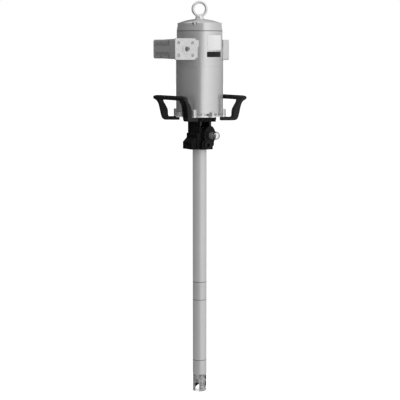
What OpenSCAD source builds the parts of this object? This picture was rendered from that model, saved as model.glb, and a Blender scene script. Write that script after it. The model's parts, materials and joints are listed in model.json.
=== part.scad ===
// Air-operated grease pump for drums: air motor, outlet casting and long suction tube.
// The origin is on the pump's axis where the suction tube leaves the casting, +Z up,
// with the air valve on -X, the silencer on +X and the air inlet facing -Y.

/* [Air motor] */
// Bore of the air cylinder
bore_d = 115; // [100:0.5:118]
// Travel of the air piston and of the whole rod
stroke = 150; // [100:1:155]
// Outside diameter of the lower barrel
barrel_d = 140.5; // [138:0.5:150]
// Outside diameter of the upper barrel, above its shoulder
upper_d = 136; // [133:0.5:137.5]
// Length of the barrel
barrel_len = 242.5; // [235:0.5:260]
// Height of the shoulder above the barrel's lower rim
shoulder_h = 194.5; // [185:0.5:205]
// Height of the turned line above the barrel's lower rim
line_h = 138.5; // [100:0.5:150]
// Thickness of the air piston
piston_t = 34; // [26:0.5:34]
// Diameter of the air motor's rod
rod_d = 20; // [16:0.5:20]

/* [Top cover and eye] */
// Height of the cover's side from joint to rounded edge
cover_side_h = 21.5; // [18:0.5:28]
// Diameter of the cover below its rounded edge
cover_top_d = 129; // [122:0.5:131]
// Radius of the dome
dome_r = 169; // [130:1:200]
// Radius of the rounded edge of the dome
cover_edge_r = 3; // [1:0.5:5]
// Diameter of the recesses for the cover screws
recess_d = 14.5; // [12:0.5:15]
// Outside diameter of the lifting eye
eye_d = 48; // [40:1:56]
// Thickness of the eye's ring
eye_wire = 8.2; // [6:0.2:10]
// Turn of the eye about the pump's axis
eye_turn = -30; // [-90:5:90]

/* [Air valve] */
// Distance from the pump's axis to the face of the barrel's valve pad
pad_x = 67; // [66:0.5:68]
// Distance from the pump's axis to the valve block's outer face
valve_x = 121; // [118:0.5:130]
// Length of the valve block over its end covers
valve_len = 130; // [126:1:150]
// Width of the end covers
end_cover_w = 69; // [66:0.5:74]
// Height of the front end cover
end_cover_h = 62; // [61:0.5:68]
// Thickness of the end covers
end_cover_t = 7.5; // [6:0.5:10]
// Height of the valve block
valve_h = 58; // [56:0.5:60]
// Diameter of the spool sleeve
sleeve_d = 24; // [22:0.5:26]
// Diameter of the spool
spool_d = 16; // [14:0.5:17]
// Travel of the spool
spool_travel = 10; // [6:0.5:12]
// Core diameter of the air inlet thread
inlet_d = 15; // [12:0.5:16]
// Spacing of the ribs on the side cover
rib_pitch = 5.5; // [4:0.5:8]

/* [Silencer] */
// Distance from the pump's axis to the silencer's outer face
silencer_x = 84; // [80:0.5:95]
// Width of the silencer block
silencer_w = 62; // [56:1:66]
// Height of the silencer block
silencer_h = 60; // [54:1:64]

/* [Base] */
// Thickness of the base head's flange
flange_t = 4.5; // [3.5:0.5:8]
// Diameter of the base head's flange
flange_d = 134; // [130:1:138]
// Diameter of the circle that the lugs stand on
lug_circle_d = 144; // [143:0.5:150]
// Diameter of each lug
lug_d = 16; // [14:0.5:18]
// Open height between the flange and the barrel's rim
vent_h = 6.5; // [4:0.5:8]

/* [Handles] */
// Distance from the pump's axis to the middle of each grip
grip_x = 99; // [96:0.5:110]
// Length of each grip
grip_len = 192; // [180:1:220]
// Height of the middle of the grip above the handle's underside
grip_rise = 68; // [62:1:80]
// Width of the grip
grip_w = 21; // [18:0.5:26]
// Thickness of the grip
grip_t = 13; // [11:0.5:16]
// Width of the legs
leg_w = 21; // [18:0.5:24]
// Thickness of the legs
leg_t = 16.5; // [14:0.5:20]
// Thickness of the handle's feet
foot_pad_t = 10.5; // [8:0.5:14]

/* [Outlet casting] */
// Height of the outlet casting
casting_h = 96.5; // [94:0.5:104]
// Diameter of the casting's top flange
casting_flange_d = 100; // [96:1:106]
// Thickness of the casting's top flange
casting_flange_t = 9.5; // [8:0.5:12]
// Width of the square neck
neck_w = 61; // [58:0.5:62]
// Width of the window in the neck
window_w = 30; // [26:0.5:32]
// Height of the window in the neck
window_h = 26; // [22:0.5:27]
// Distance from the pump's axis to the face of the outlet boss
outlet_x = 43; // [42:0.5:50]
// Core diameter of the outlet thread
outlet_d = 18.6; // [15:0.1:20]
// Depth of the outlet thread
outlet_thread_len = 17; // [14:0.5:18]
// Distance from the pump's axis to the face of the plugged boss
plug_y = 46.5; // [42:0.5:50]
// Direction of the relief valve about the pump's axis
relief_turn = 295; // [285:1:305]
// Height of the relief valve above the casting's underside
relief_z = 41; // [38:0.5:43]

/* [Suction tube] */
// Outside diameter of the suction tube
tube_d = 42.2; // [40:0.1:46]
// Inside diameter of the suction tube
tube_bore = 34; // [32.5:0.5:36]
// Length of the tube between the casting and the joining sleeve
upper_tube_len = 405; // [340:1:600]
// Length of the joining sleeve that shows
sleeve_len = 55; // [50:1:80]
// Length of the foot valve body that shows
valve_body_len = 44.5; // [42:0.5:60]
// Length of the foot
foot_len = 52; // [48:0.5:70]
// Outside diameter of the foot
foot_d = 40.6; // [39:0.1:40.8]
// Width of the slot in the foot
slot_w = 15; // [10:0.5:18]
// Height of the slot in the foot
slot_h = 28; // [24:0.5:32]
// Diameter of the two side holes in the foot
side_hole_d = 13.5; // [10:0.5:14]
// Diameter of the pump cylinder's bore
pump_bore = 20; // [18:0.5:21]
// Diameter of the pump's rod
pump_rod_d = 12; // [10:0.5:13]

/* [Fits] */
// Radial gap where one piece runs in another
run_gap = 0.05; // [0.02:0.01:0.1]
// Gap between pieces that are fixed together
seat_gap = 0.1; // [0.05:0.01:0.2]
// Gap at the end of a piece's travel
stop_gap = 0.3; // [0.2:0.05:0.5]

/* [Hidden] */

$fn = 96;
eps = 0.01;

// Heights of the main joints
head_z = casting_h;
vent_z = head_z + flange_t;
barrel_z = vent_z + vent_h;
shoulder_z = barrel_z + shoulder_h;
cover_z = barrel_z + barrel_len;
edge_z = cover_z + cover_side_h;
sleeve_z = -upper_tube_len;
lower_z = sleeve_z - sleeve_len;
lower_tube_len = stroke + 37;
foot_valve_z = lower_z - lower_tube_len;
foot_z = foot_valve_z - valve_body_len;
foot_end_z = foot_z - foot_len;

// Radii that several pieces share
bore_r = bore_d / 2;
spigot_r = bore_r - seat_gap;
rod_r = rod_d / 2;
tube_r = tube_d / 2;
tube_in_r = tube_bore / 2;
stub_r = tube_in_r - seat_gap;

// Air motor
lug_h = 11;
tall_lug_h = 19;
lug_chamfer = 1.5;
lug_turns = [for (i = [0:7]) i * 45];
handle_turns = [45, 135, 225, 315];
bolt_turns = [0, 90, 180, 270];
lug_r = lug_circle_d / 2;
screw_top_z = vent_z + lug_h - 3;
bolt_d = 8;
head_d = 13;
head_hub_h = 17;
hub_z = vent_z + head_hub_h;
bumper_t = 5;
bumper_r = 30;
bumper_w = 12;
pilot_stop = 4;
pilot_reach = bumper_t / 2 + pilot_stop;
piston_z = hub_z + pilot_reach + stop_gap;
piston_top_z = piston_z + piston_t;
cover_plug_z = piston_top_z + stroke + pilot_reach + stop_gap;
pilot_y = 40;
pilot_r = 3;
pilot_collar_r = 5;
pilot_collar_h = 3;
pilot_neck_h = 4;
pilot_bore_h = 15;
wall_r = (bore_d + upper_d) / 4;
low_port_z = hub_z + 3.5;
high_port_z = cover_plug_z - 3.5;
passage_d = 5;
seal_w = 3;
groove_h = 3.4;
cover_seal_z = cover_z - 10;
joint_w = 1.6;
joint_depth = 1.2;
base_seal_z = barrel_z + 5;
cover_screw_r = (bore_d / 2 + upper_d / 2) / 2;
cover_screw_d = 6;
cover_screw_seat_z = edge_z - 3;
dome_top_z = edge_z + cover_edge_r + dome_r - sqrt(pow(dome_r, 2) - pow(cover_top_d / 2 - cover_edge_r, 2));
eye_r = (eye_d - eye_wire) / 2;
eye_z = dome_top_z + 5 + eye_d / 2;
eye_stud_d = 12;
eye_collar_d = 25;

// Label recess in the barrel's lower part
panel_turn = 291;
panel_half_w = 47;
panel_drop = 40;
panel_corner = 10;

// Air valve
valve_z = barrel_z + 189.5;
pad_h = 51;
pad_len = valve_len - 2 * end_cover_t - 1;
gasket_t = 1;
gasket_x = pad_x + gasket_t;
valve_in_x = barrel_d / 2 + 1.75;
side_cover_t = 8;
cover_in_x = valve_x - side_cover_t;
block_len = valve_len - 2 * end_cover_t;
spool_x = gasket_x + 1 + sleeve_d / 2;
port_pitch = 11.5;
port_y = [-2 * port_pitch, -port_pitch, port_pitch, 2 * port_pitch];
port_d = 6;
supply_z = valve_z + 19;
end_cover_in_x = valve_x - end_cover_w;
end_screw_d = 5;
end_screw_inset = 11.2;
end_screw_dx = end_cover_w / 2 - end_screw_inset;
end_screw_dz = 18.2;
end_corner_r = 6;
rear_cover_h = valve_h - 2;
block_taper = 2.5;
end_cover_x = valve_x - end_cover_w / 2;
spool_len = block_len - spool_travel - 24;
smooth_len = 22;
side_gap = 0.5;
side_cover_len = block_len - smooth_len - side_gap;
side_base_t = 4.5;
bulge_h = 18;
rail_h = 10;
side_screw_y = [-26, 18];
side_screw_d = 4;
side_screw_dz = valve_h / 2 - 6.2;
side_head_d = side_screw_d * 1.625 + 1;

// Silencer
silencer_z = barrel_z + 187;
silencer_pad_x = 66.5;
silencer_cover_t = 4;
silencer_wall = 5;
silencer_screw_d = 4;
silencer_port_d = 14;

// Handles
bolt_xy = lug_circle_d / 2 * cos(45);
handle_z = casting_h - foot_pad_t - seat_gap;
foot_u = 9;
leg_turn = 26;
leg_top_u = (grip_x - bolt_xy) / cos(leg_turn);
leg_u = leg_top_u - 11;
screw_cone_h = 4.2;

// Outlet casting
window_z = 56;
window_top_z = window_z + window_h;
casting_bolt_r = 42.5;
tube_socket_h = 24;
port_z = 13.4;
packing_z = 27;
packing_h = 16;
packing_r = rod_r + 4;
gland_thread_r = packing_r + 1.5;
gland_hex_h = 7;
relief_face = 39.5;
relief_boss_r = 29;
relief_hex_len = 14.5;
blind_x = 45;
blind_r = 11.5;
blind_z = 15.2;
block_top_z = 47;
neck_corner = 13;
tube_thread_r = tube_r - 1.2;
tube_edge = 0.9;
sleeve_band_h = 13;
outlet_bore = 14;
relief_feed_r = 24;
spot_face_h = 0.5;
tube_shoulder_z = 0.3;
relief_thread_d = 14;
knob_d = 24.6;
knob_len = 16.5;
spigot_low_r = 22;
spigot_low_h = 6;

// Pump end
stub_len = 18;
coupling_len = 35;
coupling_r = 14;
rod_end_z = -stroke;
liner_r = 14;
liner_top_z = lower_z - 6;
liner_end_z = foot_valve_z + 7;
land_h = 14;
pump_piston_z = foot_valve_z + 14;
pump_piston_h = 35;
ball_in_r = 3.2;
piston_ball_r = 4.3;
piston_seat_z = pump_piston_z + 5;
piston_ball_z = piston_seat_z + sqrt(pow(piston_ball_r, 2) - pow(ball_in_r, 2)) + run_gap;
piston_ball_lift = 4;
foot_thread_h = 10.5;
seat_h = 5;
seat_r = 15;
foot_seat_z = foot_z + foot_thread_h;
seat_hole_r = 6.5;
foot_ball_r = 9;
foot_ball_z = foot_seat_z + seat_h + sqrt(pow(foot_ball_r, 2) - pow(seat_hole_r, 2)) + run_gap;
foot_ball_lift = 5;
chamber_r = 12;
ball_stop_z = foot_ball_z + foot_ball_r + foot_ball_lift + stop_gap;
ball_stop_t = 3.5;
slot_turn = 214;
side_hole_turn = 308;
side_hole_z = [foot_z - 10, foot_z - 29.5];

// Colours
light_grey = [0.72, 0.72, 0.73];
bright_grey = [0.82, 0.82, 0.83];
tube_grey = [0.66, 0.66, 0.67];
cast_grey = [0.52, 0.52, 0.53];
black = [0.07, 0.07, 0.07];
steel = [0.62, 0.62, 0.64];
bronze = [0.72, 0.52, 0.25];
rubber = [0.12, 0.12, 0.13];
polymer = [0.9, 0.88, 0.8];

// A disc or ring of height h from z upward
module ring(r_out, r_in, z, h) {
    translate([0, 0, z]) difference() {
        cylinder(r = r_out, h = h);
        translate([0, 0, -eps]) cylinder(r = r_in, h = h + 2 * eps);
    }
}

// A plain cylinder of height h from z upward
module disc(r, z, h) {
    translate([0, 0, z]) cylinder(r = r, h = h);
}

// A round rubber ring
module o_ring(ring_r, z, wire_r) {
    translate([0, 0, z]) rotate_extrude() translate([ring_r, 0]) circle(r = wire_r, $fn = 48);
}

// Copies the children to each turn in a list, at a radius
module around(turns, r) {
    for (a = turns) rotate([0, 0, a]) translate([r, 0, 0]) children();
}

// A rectangle with round corners, centred
module round_rect(w, h, r) {
    union() {
        square([w - 2 * r, h], center = true);
        square([w, h - 2 * r], center = true);
        for (x = [-1, 1], y = [-1, 1])
            translate([x * (w / 2 - r), y * (h / 2 - r)]) circle(r = r);
    }
}

// A socket-head screw with its head's underside at z = 0 and its shank below
module socket_screw(d, len, head_h) {
    difference() {
        union() {
            translate([0, 0, -len]) cylinder(d = d, h = len + eps);
            cylinder(d = d * 1.625, h = head_h - 1);
            translate([0, 0, head_h - 1]) cylinder(d1 = d * 1.625, d2 = d * 1.625 - 1.6, h = 1);
        }
        translate([0, 0, head_h - d * 0.5]) cylinder(d = d * 0.92, h = d, $fn = 6);
    }
}

// A hexagon-head screw with its head's underside at z = 0 and its shank above
module hex_screw(d, len, head_h) {
    translate([0, 0, -head_h]) cylinder(d = d * 1.625 / cos(30), h = head_h, $fn = 6);
    translate([0, 0, -eps]) cylinder(d = d, h = len);
}

// AIR MOTOR

module barrel_lug(h) {
    translate([0, 0, vent_z]) cylinder(d = lug_d, h = h - lug_chamfer);
    translate([0, 0, vent_z + h - lug_chamfer])
        cylinder(d1 = lug_d, d2 = lug_d - 2 * lug_chamfer, h = lug_chamfer);
    translate([-lug_d, -lug_d / 2, vent_z]) cube([lug_d, lug_d, h - lug_chamfer]);
}

// Air passages in the barrel's wall: one port leads below the piston and one above it, and
// both exhaust ports meet a channel that runs round to the silencer
module air_passages() {
    turn = asin(port_pitch / wall_r);
    exhaust_turn = 180 - asin(2 * port_pitch / wall_r);
    for (y = port_y) translate([-pad_x - 1, y, valve_z])
        rotate([0, 90, 0]) cylinder(d = port_d, h = pad_x + 3 - wall_r);
    rotate([0, 0, 180 + turn]) translate([wall_r, 0, 0]) {
        disc(passage_d / 2, low_port_z, valve_z - low_port_z);
        translate([0, 0, low_port_z]) rotate([0, -90, 0]) cylinder(d = passage_d, h = 20);
    }
    rotate([0, 0, 180 - turn]) translate([wall_r, 0, 0]) {
        disc(passage_d / 2, valve_z, high_port_z - valve_z);
        translate([0, 0, high_port_z]) rotate([0, -90, 0]) cylinder(d = passage_d, h = 20);
    }
    rotate([0, 0, -exhaust_turn]) rotate_extrude(angle = 2 * exhaust_turn)
        translate([wall_r, valve_z]) circle(d = passage_d, $fn = 32);
    translate([wall_r, 0, silencer_z]) rotate([0, 90, 0]) cylinder(d = silencer_port_d, h = 30);
}

module label_recess() {
    h = panel_drop + 1;
    intersection() {
        ring(barrel_d / 2 + 1, upper_d / 2, shoulder_z - panel_drop - 5, panel_drop + 10);
        rotate([0, 0, panel_turn]) translate([upper_d / 4, 0, shoulder_z - panel_drop + h / 2])
            rotate([90, 0, 90]) linear_extrude(upper_d / 2) union() {
                round_rect(2 * panel_half_w, h, panel_corner);
                translate([0, h / 4]) square([2 * panel_half_w, h / 2], center = true);
            }
    }
}

module motor_barrel() {
    color(light_grey) difference() {
        union() {
            disc(barrel_d / 2, barrel_z, shoulder_h);
            disc(upper_d / 2, shoulder_z - eps, barrel_len - shoulder_h + eps);
            around(bolt_turns, lug_r) barrel_lug(lug_h);
            around(handle_turns, lug_r) barrel_lug(tall_lug_h);
            translate([-pad_x, -pad_len / 2, valve_z - pad_h / 2]) cube([pad_x - 20, pad_len, pad_h]);
        }
        disc(bore_r, vent_z - 1, barrel_len + 20);
        label_recess();
        ring(barrel_d / 2 + 1, barrel_d / 2 - 0.6, barrel_z + line_h, 1.4);
        ring(upper_d / 2 + 1, upper_d / 2 - joint_depth, cover_z - joint_w / 2, joint_w);
        translate([-pad_x - 10, -barrel_d / 2, valve_z - pad_h / 2 - eps])
            cube([10, barrel_d, pad_h + 2 * eps]);
        translate([silencer_pad_x, -barrel_d / 2, silencer_z - silencer_h / 2 - 0.5])
            cube([10, barrel_d, silencer_h + 1]);
        around(handle_turns, cover_screw_r)
            translate([0, 0, cover_z - 18]) cylinder(d = cover_screw_d + 2 * seat_gap, h = 20);
        around(lug_turns, lug_r)
            disc(bolt_d / 2 + seat_gap, vent_z - 1, screw_top_z - vent_z + 1.5);
        air_passages();
        end_cover_screw_holes();
        for (y = [-1, 1], z = [-1, 1])
            translate([silencer_pad_x - 6, y * (silencer_w / 2 - 11), silencer_z + z * (silencer_h / 2 - 6)])
                rotate([0, 90, 0]) cylinder(d = silencer_screw_d + 2 * seat_gap, h = 10);
    }
}

module cover_outline() {
    side_r = upper_d / 2;
    edge_r = cover_top_d / 2;
    intersection() {
        union() {
            polygon([[0, cover_z], [side_r - joint_depth, cover_z],
                [side_r - joint_depth, cover_z + joint_w / 2], [side_r, cover_z + joint_w / 2],
                [side_r, cover_z + joint_w], [edge_r, edge_z], [edge_r - cover_edge_r, edge_z + cover_edge_r],
                [edge_r - cover_edge_r, dome_top_z + 5], [0, dome_top_z + 5]]);
            translate([edge_r - cover_edge_r, edge_z]) circle(r = cover_edge_r, $fn = 64);
        }
        translate([0, dome_top_z - dome_r]) circle(r = dome_r, $fn = 360);
        translate([0, cover_z]) square([side_r, dome_r]);
    }
}

module top_cover() {
    color(light_grey) difference() {
        union() {
            rotate_extrude() cover_outline();
            disc(spigot_r, cover_plug_z, cover_z - cover_plug_z + eps);
        }
        around(handle_turns, cover_screw_r) {
            translate([0, 0, cover_screw_seat_z]) cylinder(d = recess_d, h = 40);
            translate([0, 0, cover_z - 1]) cylinder(d = cover_screw_d + 2 * seat_gap, h = 40);
        }
        ring(bore_r + 2, bore_r - seal_w, cover_seal_z - groove_h / 2, groove_h);
        disc(bumper_r - bumper_w - 1, cover_plug_z - 1, 24);
        ring(bumper_r + seat_gap, bumper_r - bumper_w - seat_gap, cover_plug_z - 1, 1 + bumper_t / 2);
        translate([0, 0, dome_top_z - 18]) cylinder(d = eye_stud_d + 2 * seat_gap, h = 30);
        at_pilot(cover_plug_z, 1) pilot_bore();
    }
}

// Puts a pilot valve's piece at a face; dir is 1 in the top cover and -1 in the base head
module at_pilot(face_z, dir) {
    translate([0, pilot_y, face_z]) mirror([0, 0, dir > 0 ? 0 : 1]) children();
}

// Stepped bore of a pilot valve
module pilot_bore() {
    disc(pilot_r + run_gap, -1, 10);
    disc(pilot_collar_r + run_gap, pilot_neck_h, pilot_bore_h);
}

// Pin with its collar; its tip stands out of the face
module pilot_pin() {
    disc(pilot_r, -pilot_reach, pilot_reach + pilot_neck_h + 1);
    disc(pilot_collar_r, pilot_neck_h + eps, pilot_collar_h);
    disc(1.6, pilot_neck_h + pilot_collar_h - 0.5, 5);
}

// Round-wire compression spring between the pin's collar and the end of its bore
module pilot_spring() {
    wire_r = 0.6;
    turns = 4;
    steps = 12;
    sides = 6;
    coil_r = 3.6;
    z0 = pilot_neck_h + pilot_collar_h + wire_r + 0.05;
    z1 = pilot_neck_h + pilot_bore_h - wire_r - 0.05;
    n = turns * steps;
    pts = [for (i = [0:n], j = [0:sides - 1])
        let (a = i * 360 / steps, b = j * 360 / sides, r = coil_r + wire_r * cos(b))
        [r * cos(a), r * sin(a), z0 + (z1 - z0) * i / n + wire_r * sin(b)]];
    walls = [for (i = [0:n - 1], j = [0:sides - 1])
        let (k = (j + 1) % sides)
        [i * sides + j, (i + 1) * sides + j, (i + 1) * sides + k, i * sides + k]];
    ends = [[for (j = [0:sides - 1]) j], [for (j = [sides - 1:-1:0]) n * sides + j]];
    polyhedron(points = pts, faces = concat(walls, ends));
}

module upper_pilot_pin() {
    color(steel) at_pilot(cover_plug_z, 1) pilot_pin();
}

module upper_pilot_spring() {
    color(steel) at_pilot(cover_plug_z, 1) pilot_spring();
}

module lower_pilot_pin() {
    color(steel) at_pilot(hub_z, -1) pilot_pin();
}

module lower_pilot_spring() {
    color(steel) at_pilot(hub_z, -1) pilot_spring();
}

module cover_screws() {
    color(steel) around(handle_turns, cover_screw_r)
        translate([0, 0, cover_screw_seat_z])
            socket_screw(cover_screw_d, cover_screw_seat_z - cover_z + 16, 6);
}

module cover_seal() {
    color(rubber) o_ring(bore_r - seal_w / 2 - run_gap, cover_seal_z, seal_w / 2 - run_gap);
}

module lifting_eye() {
    neck_r = eye_collar_d / 2;
    color(steel) difference() {
        union() {
            translate([0, 0, eye_z]) rotate([90, 0, eye_turn])
                rotate_extrude() translate([eye_r, 0]) circle(d = eye_wire, $fn = 64);
            translate([0, 0, dome_top_z - 16]) cylinder(d = eye_stud_d, h = 20);
            translate([0, 0, dome_top_z]) rotate_extrude() polygon([[0, -1], [neck_r + 1.2, -1],
                [neck_r + 0.9, 1], [neck_r, 2.5], [neck_r - 0.6, 7], [neck_r - 3, 10], [0, 12]]);
        }
        translate([0, 0, eye_z]) rotate([90, 0, eye_turn])
            cylinder(r = eye_r - eye_wire / 2, h = eye_d, center = true);
        translate([0, 0, dome_top_z - dome_r]) difference() {
            sphere(r = dome_r + seat_gap, $fn = 360);
            disc(eye_stud_d / 2, 0, dome_r + 20);
        }
    }
}

module piston_bumpers() {
    color(rubber) {
        ring(bumper_r, bumper_r - bumper_w, hub_z - bumper_t / 2 + seat_gap, bumper_t);
        ring(bumper_r, bumper_r - bumper_w, cover_plug_z - bumper_t / 2 - seat_gap, bumper_t);
    }
}

// BASE

module base_head() {
    color(bright_grey) difference() {
        union() {
            disc(flange_d / 2, head_z, flange_t);
            around(lug_turns, lug_r) {
                translate([0, 0, head_z]) cylinder(d = lug_d, h = flange_t - seat_gap);
                translate([-lug_d, -lug_d / 2, head_z]) cube([lug_d, lug_d, flange_t - seat_gap]);
            }
            disc(spigot_r, head_z, hub_z - head_z);
            disc(spigot_low_r, head_z - spigot_low_h, spigot_low_h + eps);
            for (a = lug_turns) rotate([0, 0, a + 22.5]) {
                translate([spigot_r - 2, -2.5, vent_z - eps])
                    cube([flange_d / 2 - spigot_r, 5, vent_h - seat_gap]);
                translate([spigot_r - 2, -5, vent_z - eps]) cube([flange_d / 2 - spigot_r, 10, 2]);
            }
        }
        disc(rod_r + 1, head_z - 20, 60);
        disc(15, head_z + 1.5, 30);
        disc(packing_r, head_z - 4, 6);
        ring(bore_r + 2, bore_r - seal_w, base_seal_z - groove_h / 2, groove_h);
        ring(bumper_r + seat_gap, bumper_r - bumper_w - seat_gap, hub_z - bumper_t / 2, 10);
        around(handle_turns, lug_r) translate([0, 0, head_z - 1]) cylinder(d = bolt_d + 2 * seat_gap, h = 10);
        around(bolt_turns, lug_r) {
            translate([0, 0, head_z - 1]) cylinder(d = bolt_d + 2 * seat_gap, h = 10);
            translate([0, 0, head_z - eps]) cylinder(d1 = head_d, d2 = bolt_d + 2 * seat_gap, h = 3.5);
        }
        around(handle_turns, casting_bolt_r)
            translate([0, 0, head_z - 1]) cylinder(d = bolt_d + 2 * seat_gap, h = 14);
        at_pilot(hub_z, -1) pilot_bore();
    }
}

module base_seal() {
    color(rubber) o_ring(bore_r - seal_w / 2 - run_gap, base_seal_z, seal_w / 2 - run_gap);
}

module rod_bushing() {
    color(bronze) ring(15 - seat_gap, rod_r + run_gap, head_z + 1.5, hub_z - head_z - 4.5);
}

module rod_seal() {
    color(rubber) ring(packing_r - seat_gap, rod_r + run_gap, head_z - 4 + eps, 5);
}

module base_bolts() {
    color(steel) around(bolt_turns, lug_r) translate([0, 0, head_z]) {
        cylinder(d1 = head_d - 0.6, d2 = bolt_d, h = 3.3);
        cylinder(d = bolt_d, h = screw_top_z - head_z);
    }
}

module handle_screws() {
    color(steel) around(handle_turns, lug_r) translate([0, 0, handle_z + 0.4]) difference() {
        union() {
            cylinder(d1 = head_d - 0.4, d2 = bolt_d, h = screw_cone_h);
            cylinder(d = bolt_d, h = screw_top_z - handle_z - 0.4);
        }
        translate([0, 0, -1]) cylinder(d = 5 / cos(30), h = 3.5, $fn = 6);
    }
}

// HANDLES

// Outline of a leg in the upright plane through its bolt, u outwards and z up
module leg_outline() {
    r = 10;
    top = grip_rise;
    in_u = leg_u - leg_t;
    fillet = 4.5;
    overhang_r = 8.5;
    difference() {
        union() {
            translate([-foot_u, 0]) square([leg_u - r + foot_u, foot_pad_t]);
            translate([leg_u - r, r]) circle(r = r);
            polygon([[in_u - 4, 0], [leg_u - r, 0], [leg_u, r], [leg_u + 2, 18], [leg_u + 6.5, 36],
                [leg_top_u - 0.2, top - 16], [leg_top_u + 8.5, top - 5], [leg_top_u + 8.5, top],
                [leg_top_u - 6, top], [leg_top_u - 11, top - 6], [leg_top_u - leg_t + 1.5, top - 16],
                [in_u + 3.5, 37], [in_u + 0.5, 28], [in_u + 0.5, foot_pad_t], [in_u - 4, foot_pad_t]]);
            translate([in_u - 4, foot_pad_t - eps]) square([6, fillet]);
        }
        translate([in_u - 4, foot_pad_t + fillet]) circle(r = fillet);
        translate([leg_top_u + overhang_r, top - 6 - overhang_r]) circle(r = overhang_r);
    }
}

// Shallow panel between the ribs of a leg's flank
module leg_panel() {
    w = leg_t - 7;
    polygon([[leg_u - 3 - w, foot_pad_t + 3], [leg_u - 2.5, foot_pad_t + 3], [leg_u + 3, 36],
        [leg_top_u - 4.5, grip_rise - 15], [leg_top_u - 3.5 - w, grip_rise - 15], [leg_u + 2.5 - w, 36],
        [leg_u - 3 - w, 28]]);
}

module leg() {
    difference() {
        rotate([90, 0, 0]) translate([0, 0, -leg_w / 2]) linear_extrude(leg_w) leg_outline();
        for (s = [-1, 1]) translate([0, s * (leg_w / 2 + 1), 0])
            rotate([90, 0, 0]) linear_extrude(5, center = true) leg_panel();
    }
}

// One grip with rounded ends, lying along Y
module grip() {
    intersection() {
        rotate([90, 0, 0]) linear_extrude(grip_len, center = true)
            round_rect(grip_w, grip_t, grip_t / 2 - 0.5);
        linear_extrude(grip_t + 2, center = true) round_rect(grip_w, grip_len, grip_w / 2 - 0.5);
        rotate([90, 0, 90]) linear_extrude(grip_w + 2, center = true)
            round_rect(grip_len, grip_t, grip_t / 2 - 0.5);
    }
}

// Outline of the whole handle seen from its side, with round upper corners
module handle_profile() {
    r = 14;
    top = handle_z + grip_rise + grip_t / 2 - 0.3;
    translate([0, top / 2]) round_rect(grip_len - 2, top, r);
}

// Handle on the +X side
module handle() {
    difference() {
        union() {
            translate([grip_x, 0, handle_z + grip_rise]) grip();
            for (s = [-1, 1]) intersection() {
                translate([bolt_xy, s * bolt_xy, handle_z]) rotate([0, 0, s * leg_turn]) leg();
                rotate([90, 0, 90]) linear_extrude(grip_x + grip_w / 2 - 1) handle_profile();
            }
        }
        for (s = [-1, 1]) translate([bolt_xy, s * bolt_xy, handle_z]) {
            disc(bolt_d / 2 + seat_gap, -1, foot_pad_t + 2);
            translate([0, 0, -1])
                cylinder(d1 = head_d + 2, d2 = bolt_d + 2 * seat_gap, h = screw_cone_h + 1.5);
        }
    }
}

module left_handle() {
    color(black) mirror([1, 0, 0]) handle();
}

module right_handle() {
    color(black) handle();
}

// AIR VALVE

module end_cover_screw_holes() {
    y = valve_len / 2 - end_cover_t - 16;
    for (s = [-1, 1], x = [-1, 1], z = [-1, 1])
        translate([-end_cover_x + x * end_screw_dx, s * y, valve_z + z * end_screw_dz])
            rotate([90, 0, 0]) cylinder(d = end_screw_d + 2 * seat_gap, h = 33, center = true);
}

// Outline of the valve block seen from its side, lower towards the rear end
module block_profile() {
    h = valve_h / 2;
    y = block_len / 2;
    polygon([[-y, -h], [-y, h], [-y + smooth_len, h], [y, h - block_taper],
        [y, -h + block_taper], [-y + smooth_len, -h]]);
}

// The children cut to the valve block's side outline
module block_trim() {
    intersection() {
        children();
        translate([-valve_x - 1, 0, valve_z]) rotate([90, 0, 90]) linear_extrude(valve_x) block_profile();
    }
}

// Upright outline of the valve block's outer part, x outwards
module block_outline(x0) {
    h = valve_h / 2;
    polygon([[x0, -h], [valve_x - 6, -h], [valve_x, -h + 4.5],
        [valve_x, h - 4.5], [valve_x - 6, h], [x0, h]]);
}

module valve_body() {
    color(light_grey) difference() {
        block_trim() union() {
            translate([-cover_in_x, -block_len / 2, valve_z - valve_h / 2])
                cube([cover_in_x - valve_in_x, block_len, valve_h]);
            translate([-valve_in_x - 1, -pad_len / 2, valve_z - pad_h / 2])
                cube([valve_in_x + 1 - gasket_x, pad_len, pad_h]);
            translate([0, -block_len / 2 + smooth_len, valve_z])
                rotate([90, 0, 0]) mirror([1, 0, 0]) linear_extrude(smooth_len) block_outline(cover_in_x - 1);
        }
        translate([-spool_x, 0, valve_z]) rotate([90, 0, 0])
            cylinder(d = sleeve_d + 2 * seat_gap, h = valve_len, center = true);
        for (y = port_y) translate([-spool_x, y, valve_z]) rotate([0, 90, 0]) cylinder(d = port_d, h = 40);
        // Supply channel from the front end cover to the middle of the sleeve
        translate([-spool_x, -block_len / 2 - 1, supply_z])
            rotate([-90, 0, 0]) cylinder(d = port_d, h = block_len / 2 + 1 + port_d);
        translate([-spool_x, 0, valve_z]) cylinder(d = port_d - 1, h = supply_z - valve_z);
        end_cover_screw_holes();
        for (y = side_screw_y, z = [-1, 1])
            translate([-cover_in_x - 1, y, valve_z + z * side_screw_dz])
                rotate([0, 90, 0]) cylinder(d = side_screw_d + 2 * seat_gap, h = 12);
    }
}

module valve_gasket() {
    color(rubber) difference() {
        translate([-gasket_x, -pad_len / 2 + 1, valve_z - pad_h / 2 + 1])
            cube([gasket_t, pad_len - 2, pad_h - 2]);
        for (y = port_y) translate([-gasket_x - 1, y, valve_z])
            rotate([0, 90, 0]) cylinder(d = port_d + 1, h = 4);
    }
}

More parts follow.
